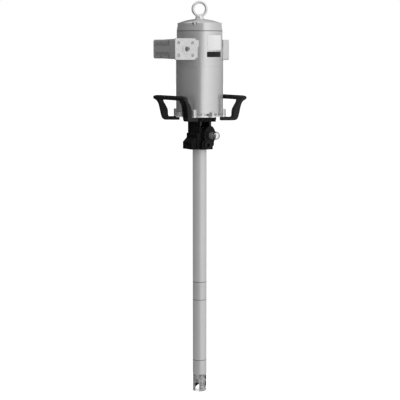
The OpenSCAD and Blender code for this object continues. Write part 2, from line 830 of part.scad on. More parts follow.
// Outer cover: rails above and below, ribs in two bands and a bulge over the spool
module valve_side_cover() {
    y0 = -block_len / 2 + smooth_len + side_gap;
    band = (valve_h - bulge_h) / 2 - rail_h;
    band_z = [valve_z + bulge_h / 2, valve_z - bulge_h / 2 - band];
    n = floor((side_cover_len - 4) / rib_pitch);
    color(light_grey) difference() {
        block_trim() translate([0, y0 + side_cover_len, valve_z])
            rotate([90, 0, 0]) mirror([1, 0, 0]) linear_extrude(side_cover_len) block_outline(cover_in_x);
        for (z = band_z) translate([-valve_x - 1, y0 + 3, z])
            cube([1 + valve_x - cover_in_x - side_base_t, side_cover_len - 6, band]);
        for (y = side_screw_y, z = [-1, 1]) translate([-valve_x - 1, y, valve_z + z * side_screw_dz]) {
            rotate([0, 90, 0]) cylinder(d = side_screw_d + 2 * seat_gap, h = 12);
            rotate([0, 90, 0]) cylinder(d = side_head_d, h = 6);
        }
    }
    color(light_grey) for (i = [0:n - 1], z = band_z)
        translate([-valve_x + 0.8, y0 + 4 + i * rib_pitch, z - eps])
            cube([valve_x - cover_in_x - side_base_t, 2, band + 2 * eps]);
}

module side_cover_screws() {
    color(steel) for (y = side_screw_y, z = [-1, 1])
        translate([-valve_x + 5, y, valve_z + z * side_screw_dz])
            rotate([0, -90, 0]) socket_screw(side_screw_d, 8, 4);
}

// End cover of a height on the -Y side, with its outer face at valve_len / 2
module end_cover(h, with_port) {
    difference() {
        union() {
            translate([-end_cover_x, -valve_len / 2 + end_cover_t, valve_z]) rotate([90, 0, 0])
                linear_extrude(end_cover_t) round_rect(end_cover_w, h, end_corner_r);
            translate([-spool_x, -valve_len / 2 + eps, valve_z]) rotate([90, 0, 0]) {
                cylinder(d1 = 34, d2 = 32.6, h = 0.7);
                if (with_port) cylinder(d1 = 26, d2 = 24.6, h = 1.4);
            }
        }
        for (x = [-1, 1], z = [-1, 1])
            translate([-end_cover_x + x * end_screw_dx, -valve_len / 2, valve_z + z * end_screw_dz])
                rotate([90, 0, 0]) {
                cylinder(d = end_screw_d + 2 * seat_gap, h = 3 * end_cover_t, center = true);
                translate([0, 0, -4]) cylinder(d = end_screw_d * 1.625 + 1, h = 10);
            }
        if (with_port) translate([-spool_x, -valve_len / 2, valve_z]) rotate([90, 0, 0]) {
            cylinder(d = inlet_d, h = 3 * end_cover_t, center = true);
            translate([0, 0, 0.5]) cylinder(d1 = inlet_d, d2 = inlet_d + 3, h = 1.5);
        }
        // Slot that leads the supply to its channel in the block
        if (with_port) translate([-spool_x - port_d / 2, -valve_len / 2 + end_cover_t - 3, valve_z])
            cube([port_d, 4, supply_z - valve_z + port_d / 2]);
    }
}

module front_end_cover() {
    color(bright_grey) end_cover(end_cover_h, true);
}

module rear_end_cover() {
    color(bright_grey) mirror([0, 1, 0]) end_cover(rear_cover_h, false);
}

module end_cover_screws() {
    color(steel) for (s = [0, 1], x = [-1, 1], z = [-1, 1]) mirror([0, s, 0])
        translate([-end_cover_x + x * end_screw_dx, -valve_len / 2 + 4, valve_z + z * end_screw_dz])
            rotate([90, 0, 0]) socket_screw(end_screw_d, 14, 4);
}

module spool_sleeve() {
    color(steel) translate([-spool_x, 0, valve_z]) rotate([90, 0, 0]) difference() {
        cylinder(d = sleeve_d, h = block_len - 1, center = true);
        cylinder(d = spool_d + 2 * run_gap, h = block_len, center = true);
        for (y = port_y) translate([0, 0, y]) rotate([0, 90, 0]) cylinder(d = port_d, h = sleeve_d);
        rotate([-90, 0, 0]) cylinder(d = port_d, h = sleeve_d);
    }
}

module valve_spool() {
    land = spool_d / 2;
    waist = spool_d / 2 - 3;
    color(steel) translate([-spool_x, -spool_travel / 2 + spool_len / 2, valve_z]) rotate([90, 0, 0])
        difference() {
            union() {
                cylinder(r = waist, h = spool_len);
                for (i = [0:3]) translate([0, 0, i * (spool_len - 12) / 3]) cylinder(r = land, h = 12);
            }
            for (i = [0:3]) translate([0, 0, i * (spool_len - 12) / 3 + 6])
                difference() {
                    cylinder(r = land + 1, h = 2.4, center = true);
                    cylinder(r = land - 1.5, h = 3, center = true);
                }
        }
}

module spool_seals() {
    land = spool_d / 2;
    color(rubber) translate([-spool_x, -spool_travel / 2 + spool_len / 2, valve_z]) rotate([90, 0, 0])
        for (i = [0:3]) o_ring(land - 0.7, i * (spool_len - 12) / 3 + 6, 0.7);
}

// SILENCER

module silencer_outline() {
    round_rect(silencer_w, silencer_h, 5);
}

module silencer_housing() {
    x1 = silencer_x - silencer_cover_t;
    color(light_grey) difference() {
        translate([silencer_pad_x - 20, 0, silencer_z]) rotate([90, 0, 90])
            linear_extrude(x1 - silencer_pad_x + 20 - seat_gap) silencer_outline();
        difference() {
            disc(barrel_d / 2 + seat_gap, barrel_z, barrel_len);
            translate([silencer_pad_x + seat_gap, -barrel_d, barrel_z]) cube([50, 2 * barrel_d, barrel_len]);
        }
        translate([silencer_pad_x + 3, 0, silencer_z]) rotate([90, 0, 90])
            linear_extrude(30)
                round_rect(silencer_w - 2 * silencer_wall - 6, silencer_h - 2 * silencer_wall - 8, 4);
        translate([silencer_pad_x - 10, 0, silencer_z])
            rotate([0, 90, 0]) cylinder(d = silencer_port_d, h = 30);
        for (y = [-1, 1], z = [-1, 1])
            translate([silencer_pad_x - 6, y * (silencer_w / 2 - 11), silencer_z + z * (silencer_h / 2 - 6)])
                rotate([0, 90, 0]) cylinder(d = silencer_screw_d + 2 * seat_gap, h = 40);
    }
}

module silencer_element() {
    color(polymer) translate([silencer_pad_x + 3.3, 0, silencer_z]) rotate([90, 0, 90])
        linear_extrude(silencer_x - silencer_cover_t - silencer_pad_x - 3.7)
            round_rect(silencer_w - 2 * silencer_wall - 7, silencer_h - 2 * silencer_wall - 9, 4);
}

module silencer_cover() {
    color(light_grey) difference() {
        translate([silencer_x - silencer_cover_t, 0, silencer_z]) rotate([90, 0, 90])
            linear_extrude(silencer_cover_t) silencer_outline();
        for (i = [-3:3]) translate([silencer_x - 10, i * 5.5, silencer_z]) rotate([90, 0, 90])
            linear_extrude(20) round_rect(2.6, 32, 1.2);
        for (y = [-1, 1], z = [-1, 1])
            translate([silencer_x - 10, y * (silencer_w / 2 - 11), silencer_z + z * (silencer_h / 2 - 6)])
                rotate([0, 90, 0]) cylinder(d = silencer_screw_d + 2 * seat_gap, h = 20);
    }
}

module silencer_screws() {
    color(steel) for (y = [-1, 1], z = [-1, 1])
        translate([silencer_x, y * (silencer_w / 2 - 11), silencer_z + z * (silencer_h / 2 - 6)])
            rotate([0, 90, 0]) socket_screw(silencer_screw_d, silencer_x - silencer_pad_x + 5, 3);
}

// AIR PISTON AND ROD

module air_piston() {
    color(light_grey) difference() {
        disc(bore_r - 0.3, piston_z, piston_t);
        disc(8 + seat_gap, piston_z - 1, piston_t + 2);
        ring(bore_r + 1, bore_r - 5, piston_z + 8 - 2.2, 4.4);
        ring(bore_r + 1, bore_r - 3, piston_z + piston_t - 12, 8);
    }
}

module piston_seal() {
    color(rubber) ring(bore_r - run_gap, bore_r - 5 + seat_gap, piston_z + 8 - 2, 4);
}

module piston_guide() {
    color(polymer) ring(bore_r - run_gap, bore_r - 3 + seat_gap,
        piston_z + piston_t - 12 + seat_gap, 8 - 2 * seat_gap);
}

module piston_nut() {
    color(steel) translate([0, 0, piston_top_z + seat_gap]) difference() {
        cylinder(d = 24 / cos(30), h = 10, $fn = 6);
        translate([0, 0, -1]) cylinder(r = 8 + run_gap, h = 20);
    }
}

module piston_rod() {
    color(steel) difference() {
        union() {
            disc(rod_r, rod_end_z, piston_z - rod_end_z - seat_gap);
            disc(8, piston_z - 2, piston_t + 14);
        }
        translate([0, 0, piston_z + piston_t + 11]) cylinder(d1 = 13, d2 = 18, h = 2);
    }
}

// OUTLET CASTING

module casting_shell() {
    flange_z = casting_h - casting_flange_t;
    disc(casting_flange_d / 2, flange_z, casting_flange_t);
    translate([0, 0, flange_z - 5]) cylinder(r1 = neck_w / 2 - 2, r2 = neck_w / 2 + 3, h = 5 + eps);
    linear_extrude(flange_z + eps) neck_outline();
    // Lower block
    linear_extrude(block_top_z) round_rect(neck_w + 3, neck_w + 3, neck_corner);
    // Blind boss opposite the outlet
    translate([0, 0, blind_z]) rotate([0, 90, 0]) {
        cylinder(r = blind_r, h = blind_x - 1.5);
        translate([0, 0, blind_x - 1.5 - eps]) cylinder(r1 = blind_r, r2 = blind_r - 1.5, h = 1.5);
    }
    // Outlet boss
    translate([-outlet_x, 0, 0]) rotate([90, 0, 90]) linear_extrude(outlet_x) boss_outline(52, 22, 10);
    translate([0, 26, 0]) rotate([90, 0, 0]) linear_extrude(52) polygon([[-20, 0],
        [-outlet_x, 0], [-outlet_x, 21], [-25, 39], [-20, 39]]);
    // Plugged boss
    translate([0, -plug_y, 0]) rotate([90, 0, 180]) linear_extrude(plug_y) boss_outline(36, 26, 7);
    // Relief valve boss
    rotate([0, 0, relief_turn]) translate([10, 0, relief_z]) rotate([0, 90, 0]) {
        cylinder(r = relief_boss_r, h = relief_face - 11.5);
        translate([0, 0, relief_face - 11.5 - eps])
            cylinder(r1 = relief_boss_r, r2 = relief_boss_r - 1.5, h = 1.5);
    }
}

// Square neck with its corners cut
module neck_outline() {
    w = neck_w / 2;
    c = w - neck_corner;
    polygon([[-w, -c], [-c, -w], [c, -w], [w, -c], [w, c], [c, w], [-c, w], [-w, c]]);
}

// Boss face of a width and height that stands on z = 0, with round upper corners
module boss_outline(w, h, r) {
    translate([-w / 2, 0]) square([w, h - r]);
    translate([-w / 2 + r, 0]) square([w - 2 * r, h]);
    for (s = [-1, 1]) translate([s * (w / 2 - r), h - r]) circle(r = r);
}

module pump_casting() {
    color(black) difference() {
        casting_shell();
        disc(tube_thread_r + seat_gap, -1, tube_socket_h + 1);
        disc(tube_r + 6, -1, 1 + spot_face_h);
        disc(rod_r + 1, 0, casting_h + 1);
        disc(packing_r + seat_gap, packing_z, 40);
        disc(gland_thread_r + seat_gap, packing_z + packing_h + 1, window_z);
        disc(spigot_low_r + seat_gap, casting_h - spigot_low_h - 0.5, 20);
        // The window leaves the relief valve's boss whole outside the neck
        translate([-window_w / 2, -neck_w / 2 - eps, window_z])
            cube([window_w, neck_w + 2 * eps, window_h]);
        // Outlet, plugged outlet and relief passages
        translate([-outlet_x - 1, 0, port_z]) rotate([0, 90, 0]) {
            cylinder(d = outlet_d + 6, h = 2);
            cylinder(d = outlet_d, h = outlet_thread_len + 1);
            cylinder(d = outlet_bore, h = outlet_x);
        }
        translate([0, -plug_y - 1, port_z]) rotate([-90, 0, 0]) cylinder(d = 20 + 2 * seat_gap, h = plug_y);
        rotate([0, 0, relief_turn]) {
            translate([18, 0, relief_z])
                rotate([0, 90, 0]) cylinder(d = relief_thread_d + 2 * seat_gap, h = 60);
            // Feed from the chamber behind the plugged boss up to the relief valve
            translate([relief_feed_r, 0, port_z]) cylinder(d = 5, h = relief_z - port_z);
        }
        around(handle_turns, casting_bolt_r)
            translate([0, 0, casting_h - 20]) cylinder(d = bolt_d + 2 * seat_gap, h = 30);
    }
}

module casting_bolts() {
    color(black) around(handle_turns, casting_bolt_r)
        translate([0, 0, casting_h - casting_flange_t - seat_gap]) hex_screw(bolt_d, 18, 5.5);
}

module gland_nut() {
    color(steel) difference() {
        union() {
            disc(gland_thread_r, packing_z + packing_h + 1, window_z - packing_z - packing_h);
            translate([0, 0, window_z + seat_gap]) cylinder(d = window_w - 0.6, h = gland_hex_h, $fn = 6);
        }
        disc(rod_r + run_gap, 0, casting_h);
    }
}

module gland_packing() {
    n = 4;
    h = packing_h / n;
    color(rubber) for (i = [0:n - 1])
        ring(packing_r, rod_r + run_gap, packing_z + i * h + eps, h - 0.1);
}

module outlet_plug() {
    color(black) translate([0, -plug_y, port_z]) rotate([90, 0, 0]) difference() {
        union() {
            translate([0, 0, -14]) cylinder(d = 20, h = 15);
            translate([0, 0, seat_gap]) cylinder(d = 24.5, h = 2.4);
            translate([0, 0, 2.5]) cylinder(d1 = 24.5, d2 = 22.5, h = 1);
        }
        translate([0, 0, -4]) cylinder(d = 10 / cos(30), h = 20, $fn = 6);
    }
}

module relief_body() {
    color([0.2, 0.2, 0.21]) rotate([0, 0, relief_turn])
        translate([relief_face, 0, relief_z]) rotate([0, 90, 0]) difference() {
            union() {
                translate([0, 0, -14]) cylinder(d = relief_thread_d, h = 15);
                translate([0, 0, seat_gap]) cylinder(d = 19 / cos(30), h = 9, $fn = 6);
                translate([0, 0, 8]) cylinder(d = 16.5, h = relief_hex_len - 8);
            }
            translate([0, 0, 4]) cylinder(r = 4 + run_gap, h = 40);
        }
}

// Round polished knob on its needle
module bleed_knob() {
    r = knob_d / 2;
    color([0.85, 0.85, 0.87]) rotate([0, 0, relief_turn])
        translate([relief_face + relief_hex_len + stop_gap, 0, relief_z]) rotate([0, 90, 0]) union() {
            rotate_extrude() intersection() {
                union() {
                    translate([0, knob_len - r]) circle(r = r, $fn = 96);
                    translate([0, 1]) square([r, knob_len - r]);
                    polygon([[0, 0], [r - 1.2, 0], [r, 1.2], [0, 1.2]]);
                }
                square([r + 1, knob_len + 1]);
            }
            translate([0, 0, -relief_hex_len + 5]) cylinder(r = 4, h = relief_hex_len);
        }
}

// PUMP TUBE

module suction_tube() {
    color(tube_grey) difference() {
        union() {
            tube_ring(sleeve_z + seat_gap, upper_tube_len + tube_shoulder_z - seat_gap, tube_in_r,
                tube_edge, 0);
            ring(tube_thread_r, tube_in_r, -1, tube_socket_h);
        }
        for (a = [0, 90, 180, 270]) rotate([0, 0, a]) translate([0, 0, port_z]) rotate([0, 90, 0])
            cylinder(d = outlet_bore, h = tube_d);
    }
}

// Stretch of tube with a bevel of its own on the outer edge of each end
module tube_ring(z, h, in_r, low, high) {
    rotate_extrude() polygon([[in_r, z], [tube_r - low, z], [tube_r, z + low],
        [tube_r, z + h - high], [tube_r - high, z + h], [in_r, z + h]]);
}

// Solid stretch of tube with reduced stubs that screw into its neighbours
module stub_ring(z, h, in_r, up, down) {
    tube_ring(z, h, in_r, tube_edge, tube_edge);
    if (up > 0) ring(stub_r, in_r, z + h - 1, up + 1);
    if (down > 0) ring(stub_r, in_r, z - down, down + 1);
}

module joining_sleeve() {
    color(tube_grey) difference() {
        stub_ring(lower_z + seat_gap, sleeve_len - seat_gap, 10, stub_len, stub_len);
        disc(liner_r + seat_gap, liner_top_z - 30, 30.1);
        disc(coupling_r + 1, sleeve_z - 10, 40);
        ring(tube_r + 1, tube_r - 0.5, sleeve_z - sleeve_band_h, 1.2);
    }
}

module lower_tube() {
    color(tube_grey) tube_ring(foot_valve_z + seat_gap, lower_tube_len - seat_gap, tube_in_r,
        tube_edge, tube_edge);
}

module foot_valve_body() {
    color(tube_grey) difference() {
        stub_ring(foot_z + seat_gap, valve_body_len - seat_gap, 8, stub_len, 0);
        disc(stub_r + 2 * seat_gap, foot_z - 1, foot_thread_h + 1);
        disc(seat_r + seat_gap, foot_z, foot_thread_h + seat_h);
        disc(chamber_r, foot_z, ball_stop_z + ball_stop_t - foot_z + seat_gap);
        disc(liner_r + seat_gap, liner_end_z - seat_gap, 40);
    }
}

module foot() {
    r = foot_d / 2;
    color(cast_grey) difference() {
        union() {
            disc(r, foot_end_z, foot_len - seat_gap);
            disc(stub_r, foot_z - 2, foot_thread_h + 1.5);
        }
        disc(r - 4.2, foot_end_z - 1, foot_len - 6);
        disc(seat_hole_r + 3, foot_end_z, foot_len + 20);
        // Slot with a round top
        rotate([0, 0, slot_turn]) translate([0, -slot_w / 2, foot_end_z - 1])
            cube([foot_d, slot_w, slot_h - slot_w / 2 + 1]);
        rotate([0, 0, slot_turn]) translate([0, 0, foot_end_z + slot_h - slot_w / 2]) rotate([0, 90, 0])
            cylinder(d = slot_w, h = foot_d);
        // Wide scallop opposite the slot
        rotate([0, 0, slot_turn + 180]) translate([0, 0, foot_end_z - 6])
            rotate([0, 90, 0]) cylinder(r = 21, h = foot_d);
        for (z = side_hole_z) rotate([0, 0, side_hole_turn]) translate([0, 0, z])
            rotate([0, 90, 0]) cylinder(d = side_hole_d, h = foot_d);
        ring(r + 5, r - 1, foot_end_z - 1, 1.01);
    }
}

module pump_liner() {
    color(steel) ring(liner_r, pump_bore / 2, liner_end_z, liner_top_z - liner_end_z);
}

module rod_coupling() {
    z = rod_end_z - coupling_len / 2;
    color(steel) difference() {
        disc(coupling_r, z, coupling_len);
        disc(rod_r + run_gap, rod_end_z - seat_gap, coupling_len);
        disc(pump_rod_d / 2 + run_gap, z - 1, coupling_len);
    }
}

module pump_rod() {
    z = pump_piston_z + pump_piston_h - 12;
    color(steel) disc(pump_rod_d / 2, z, rod_end_z - 3 - z);
}

module pump_piston() {
    r = pump_bore / 2 - run_gap;
    color(steel) difference() {
        union() {
            disc(r, pump_piston_z, land_h);
            disc(r - 2.3, pump_piston_z + land_h - eps, pump_piston_h - land_h);
        }
        disc(ball_in_r, pump_piston_z - 1, 20);
        disc(piston_ball_r + 0.4, piston_seat_z, 14);
        for (a = [0, 90]) rotate([0, 0, a]) translate([0, 0, piston_seat_z + 11.5])
            rotate([0, 90, 0]) cylinder(r = 2.2, h = 40, center = true);
        disc(pump_rod_d / 2 + run_gap, pump_piston_z + pump_piston_h - 12, 20);
        for (i = [0, 1]) ring(r + 1, r - 1.8, pump_piston_z + 2 + i * 6, 4);
    }
}

module pump_packing() {
    r = pump_bore / 2;
    color(polymer) for (i = [0, 1])
        ring(r - run_gap / 2, r - run_gap - 1.8 + seat_gap, pump_piston_z + 2.1 + i * 6, 3.8);
}

module piston_ball() {
    color(steel) translate([0, 0, piston_ball_z]) sphere(r = piston_ball_r);
}

module foot_seat() {
    color(steel) difference() {
        disc(seat_r, foot_seat_z + seat_gap, seat_h - seat_gap);
        disc(seat_hole_r, foot_seat_z - 1, 20);
    }
}

module foot_ball() {
    color(steel) translate([0, 0, foot_ball_z]) sphere(r = foot_ball_r);
}

module ball_stop() {
    color(steel) difference() {
        disc(chamber_r - seat_gap, ball_stop_z, ball_stop_t);
        for (a = [0:60:300]) rotate([0, 0, a]) translate([7.5, 0, ball_stop_z - 1]) cylinder(r = 2.5, h = 10);
    }
}

motor_barrel();
top_cover();
cover_screws();
cover_seal();
lifting_eye();
piston_bumpers();
base_head();
base_seal();
rod_bushing();
rod_seal();
base_bolts();
handle_screws();
left_handle();
right_handle();
valve_body();
valve_gasket();
valve_side_cover();
side_cover_screws();
front_end_cover();
rear_end_cover();
end_cover_screws();
spool_sleeve();
valve_spool();
spool_seals();
silencer_housing();
silencer_element();
silencer_cover();
silencer_screws();
upper_pilot_pin();
upper_pilot_spring();
lower_pilot_pin();
lower_pilot_spring();
air_piston();
piston_seal();
piston_guide();
piston_nut();
piston_rod();
pump_casting();
casting_bolts();
gland_nut();
gland_packing();
outlet_plug();
relief_body();
bleed_knob();
suction_tube();
joining_sleeve();
lower_tube();
foot_valve_body();
foot();
pump_liner();
rod_coupling();
pump_rod();
pump_piston();
pump_packing();
piston_ball();
foot_seat();
foot_ball();
ball_stop();
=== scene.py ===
"""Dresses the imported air-operated grease pump and sets it in a plain studio.

The pump's axis is the frame's Z axis, with the suction tube leaving the outlet casting at z = 0,
the air valve on -X, the silencer on +X and the air inlet facing -Y. All sizes are in metres.
"""

from __future__ import annotations

import json
import logging
import math
from dataclasses import dataclass
from enum import Enum

import bmesh
import bpy
from bmesh.types import BMEdge, BMesh, BMFace, BMVert
from bpy.types import Material, Mesh, Node, NodeSocket, Object
from mathutils import Matrix, Vector

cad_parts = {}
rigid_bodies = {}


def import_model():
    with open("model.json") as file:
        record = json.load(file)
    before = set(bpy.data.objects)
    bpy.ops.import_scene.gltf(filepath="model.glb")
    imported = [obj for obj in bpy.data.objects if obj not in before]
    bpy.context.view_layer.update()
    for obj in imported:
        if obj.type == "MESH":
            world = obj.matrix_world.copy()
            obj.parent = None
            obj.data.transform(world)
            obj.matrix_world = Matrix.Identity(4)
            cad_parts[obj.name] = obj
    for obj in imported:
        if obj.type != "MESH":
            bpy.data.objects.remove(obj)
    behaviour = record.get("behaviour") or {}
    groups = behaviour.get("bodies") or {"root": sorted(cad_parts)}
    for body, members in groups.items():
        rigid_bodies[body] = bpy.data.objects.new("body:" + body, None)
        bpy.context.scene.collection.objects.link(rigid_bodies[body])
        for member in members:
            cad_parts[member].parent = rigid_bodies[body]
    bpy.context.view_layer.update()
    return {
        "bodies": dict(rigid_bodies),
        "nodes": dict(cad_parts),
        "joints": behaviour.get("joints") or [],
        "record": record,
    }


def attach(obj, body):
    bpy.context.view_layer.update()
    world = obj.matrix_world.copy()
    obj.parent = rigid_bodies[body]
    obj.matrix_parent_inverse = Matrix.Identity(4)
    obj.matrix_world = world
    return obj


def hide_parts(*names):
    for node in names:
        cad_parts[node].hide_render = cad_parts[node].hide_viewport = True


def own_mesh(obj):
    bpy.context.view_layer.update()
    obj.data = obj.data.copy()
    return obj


LOG = logging.getLogger("pump")
MM = 0.001
WELD = 0.001 * MM
FULL_TURN = 2.0 * math.pi
ORIGIN = (0.0, 0.0, 0.0)
Z_AXIS = (0.0, 0.0, 1.0)
WHITE = (1.0, 1.0, 1.0, 1.0)

Colour = tuple[float, float, float]
Point = tuple[float, float, float]
Pair = tuple[float, float]


def grey(value: float, warm: float = 0.0) -> Colour:
    """Returns a grey colour.

    Args:
        value: How bright it is, from 0 to 1.
        warm: The share by which its red is raised and its blue lowered.

    Returns:
        The colour.
    """
    return (value * (1.0 + warm), value, value * (1.0 - warm))


def around(middle: float, share: float) -> Pair:
    """Returns the values on both sides of a middle.

    Args:
        middle: The middle.
        share: How far off they are, as a share of it.

    Returns:
        The lower and the upper value.
    """
    return (middle * (1.0 - share), middle * (1.0 + share))


def linked(name: str, data: bpy.types.ID) -> Object:
    """Returns a new object of the scene.

    Args:
        name: The object's name.
        data: Its mesh, camera or lamp.

    Returns:
        The object.
    """
    item = bpy.data.objects.new(name, data)
    bpy.context.scene.collection.objects.link(item)
    return item


def written(name: str, shape: BMesh) -> Mesh:
    """Returns a new mesh made from a shape.

    Args:
        name: The mesh's name.
        shape: The shape, which is used up.

    Returns:
        The mesh.
    """
    mesh = bpy.data.meshes.new(name)
    shape.to_mesh(mesh)
    shape.free()
    return mesh


def spin(shape: BMesh, geom: list, angle: float, steps: int, rise: float = 0.0,
         close: bool = False) -> list:
    """Spins a part of a shape about the Z axis.

    Args:
        shape: The shape.
        geom: The part of it that is spun.
        angle: How far it turns, in radians.
        steps: The number of steps.
        rise: How far each step climbs.
        close: Whether the last step joins the first.

    Returns:
        The vertices, edges and faces of the last step.
    """
    return bmesh.ops.spin(shape, geom=geom, cent=ORIGIN, axis=Z_AXIS, dvec=(0.0, 0.0, rise),
                          angle=angle, steps=steps, use_merge=close)["geom_last"]


def bevel(shape: BMesh, edges: list[BMEdge], offset: float, segments: int) -> None:
    """Rounds edges of a shape.

    Args:
        shape: The shape.
        edges: The edges to round.
        offset: How far from each edge the rounding starts.
        segments: The number of facets in it.
    """
    bmesh.ops.bevel(shape, geom=edges, offset=offset, segments=segments, profile=0.5,
                    affect="EDGES", material=-1)


class Graph:
    """A node tree, and the ways to add to it."""

    MIX_SHARE = 0
    MIX_COLOURS = (6, 7)
    MIX_RESULT = 2

    def __init__(self, tree: bpy.types.NodeTree) -> None:
        """Takes over a node tree.

        Args:
            tree: The tree to add to.
        """
        self.nodes = tree.nodes
        self.links = tree.links

    def add(self, kind: str, **settings: object) -> Node:
        """Adds a node.

        Args:
            kind: The node's type.
            settings: Properties to set on it.

        Returns:
            The new node.
        """
        node = self.nodes.new(kind)
        for key, value in settings.items():
            setattr(node, key, value)
        return node

    def fill(self, socket: NodeSocket, value: object) -> None:
        """Fills an input.

        Args:
            socket: The input.
            value: A socket to link to it, or its plain value.
        """
        if isinstance(value, NodeSocket):
            self.links.new(value, socket)
        else:
            socket.default_value = value

    def feed(self, node: Node, **values: object) -> Node:
        """Fills a node's inputs by name, with _ for a space.

        Args:
            node: The node to feed.
            values: A socket to link or a plain value for each input.

        Returns:
            The same node.
        """
        for key, value in values.items():
            self.fill(node.inputs[key.replace("_", " ")], value)
        return node

    def remap(self, value: NodeSocket, band: Pair, levels: Pair = (0.0, 1.0)) -> NodeSocket:
        """Moves a value from one range to another and holds it at the ends.

        Args:
            value: The value.
            band: The range it comes from.
            levels: The range it goes to.

        Returns:
            The moved value.
        """
        node = self.add("ShaderNodeMapRange", clamp=True)
        for index, number in enumerate((*band, *levels), start=1):
            node.inputs[index].default_value = number
        self.links.new(value, node.inputs[0])
        return node.outputs[0]

    def maths(self, kind: str, first: NodeSocket | float,
              second: NodeSocket | float = 0.0) -> NodeSocket:
        """Works out a Math node.

        Args:
            kind: The operation.
            first: Its first value.
            second: Its second value, if it has one.

        Returns:
            The result.
        """
        node = self.add("ShaderNodeMath", operation=kind)
        self.fill(node.inputs[0], first)
        self.fill(node.inputs[1], second)
        return node.outputs[0]

    def vectors(self, kind: str, first: NodeSocket, second: NodeSocket | Point = ORIGIN) -> Node:
        """Adds a Vector Math node.

        Args:
            kind: The operation.
            first: Its first vector.
            second: Its second vector, if it has one.

        Returns:
            The node.
        """
        node = self.add("ShaderNodeVectorMath", operation=kind)
        self.fill(node.inputs[0], first)
        self.fill(node.inputs[1], second)
        return node

    def scaled(self, colour: NodeSocket, amount: NodeSocket) -> NodeSocket:
        """Makes a colour brighter or darker.

        Args:
            colour: The colour.
            amount: How many times as bright it becomes.

        Returns:
            The new colour.
        """
        node = self.vectors("SCALE", colour)
        self.feed(node, Scale=amount)
        return node.outputs["Vector"]

    def blend(self, share: NodeSocket, first: NodeSocket | Colour,
              second: NodeSocket | Colour) -> NodeSocket:
        """Mixes two colours.

        Args:
            share: How much of the second one there is.
            first: The first colour.
            second: The second colour.

        Returns:
            The mixed colour.
        """
        node = self.add("ShaderNodeMix", data_type="RGBA")
        self.fill(node.inputs[self.MIX_SHARE], share)
        for index, colour in zip(self.MIX_COLOURS, (first, second)):
            plain = not isinstance(colour, NodeSocket)
            self.fill(node.inputs[index], (*colour, 1.0) if plain else colour)
        return node.outputs[self.MIX_RESULT]

    def seen(self) -> NodeSocket:
        """Returns 1 for a ray from the camera, a mirror or glass, and 0 for any other."""
        path = self.add("ShaderNodeLightPath")
        seen = path.outputs["Is Camera Ray"]
        for kind in ("Is Transmission Ray", "Is Glossy Ray"):
            seen = self.maths("MAXIMUM", seen, path.outputs[kind])
        return seen


class Tree(Graph):
    """One material's node tree, with every pattern on Object coordinates."""

    EDGE_SAMPLES = 4
    EDGE_BAND = (1.0, 0.9)

    def __init__(self, name: str) -> None:
        """Starts a material with a Principled shader.

        Args:
            name: The material's name.
        """
        self.material = bpy.data.materials.new(name)
        self.material.use_nodes = True
        super().__init__(self.material.node_tree)
        self.nodes.clear()
        self.output = self.add("ShaderNodeOutputMaterial")
        self.shader = self.add("ShaderNodeBsdfPrincipled")
        self.links.new(self.shader.outputs["BSDF"], self.output.inputs["Surface"])
        self.place = self.add("ShaderNodeTexCoord").outputs["Object"]

    def noise(self, scale: float, detail: float, stretch: Point = (1.0, 1.0, 1.0)) -> NodeSocket:
        """Returns a noise pattern.

        Args:
            scale: Repeats in a metre.
            detail: How many finer layers it has.
            stretch: Scale along each axis.

        Returns:
            The pattern's value, around a half.
        """
        mapping = self.feed(self.add("ShaderNodeMapping"), Vector=self.place, Scale=stretch)
        node = self.feed(self.add("ShaderNodeTexNoise"), Vector=mapping.outputs["Vector"],
                         Scale=scale, Detail=detail)
        return node.outputs["Fac"]

    def reach(self, centre: Point, across: Point) -> NodeSocket:
        """Returns the distance from a centre.

        Args:
            centre: The centre.
            across: 1 for each axis along which the distance counts, and 0 for the others.

        Returns:
            The distance.
        """
        away = self.vectors("SUBTRACT", self.place, centre).outputs["Vector"]
        flat = self.vectors("MULTIPLY", away, across).outputs["Vector"]
        return self.vectors("LENGTH", flat).outputs["Value"]

    def edges(self, radius: float) -> tuple[NodeSocket, NodeSocket]:
        """Rounds the shading of sharp edges.

        Args:
            radius: Radius of the rounding.

        Returns:
            The rounded normal, and a mask that is 1 on the edges.
        """
        rounded = self.feed(self.add("ShaderNodeBevel", samples=self.EDGE_SAMPLES), Radius=radius)
        normal = rounded.outputs["Normal"]
        flat = self.add("ShaderNodeNewGeometry").outputs["Normal"]
        match = self.vectors("DOT_PRODUCT", normal, flat).outputs["Value"]
        return normal, self.remap(match, self.EDGE_BAND)

    def bump(self, height: NodeSocket, depth: float, normal: NodeSocket) -> NodeSocket:
        """Returns a normal pushed in and out by a height.

        Args:
            height: The pattern, from 0 to 1.
            depth: The distance that 1 stands for.
            normal: The normal to start from.

        Returns:
            The bumped normal.
        """
        node = self.feed(self.add("ShaderNodeBump"), Height=height, Distance=depth, Strength=1.0,
                         Normal=normal)
        return node.outputs["Normal"]


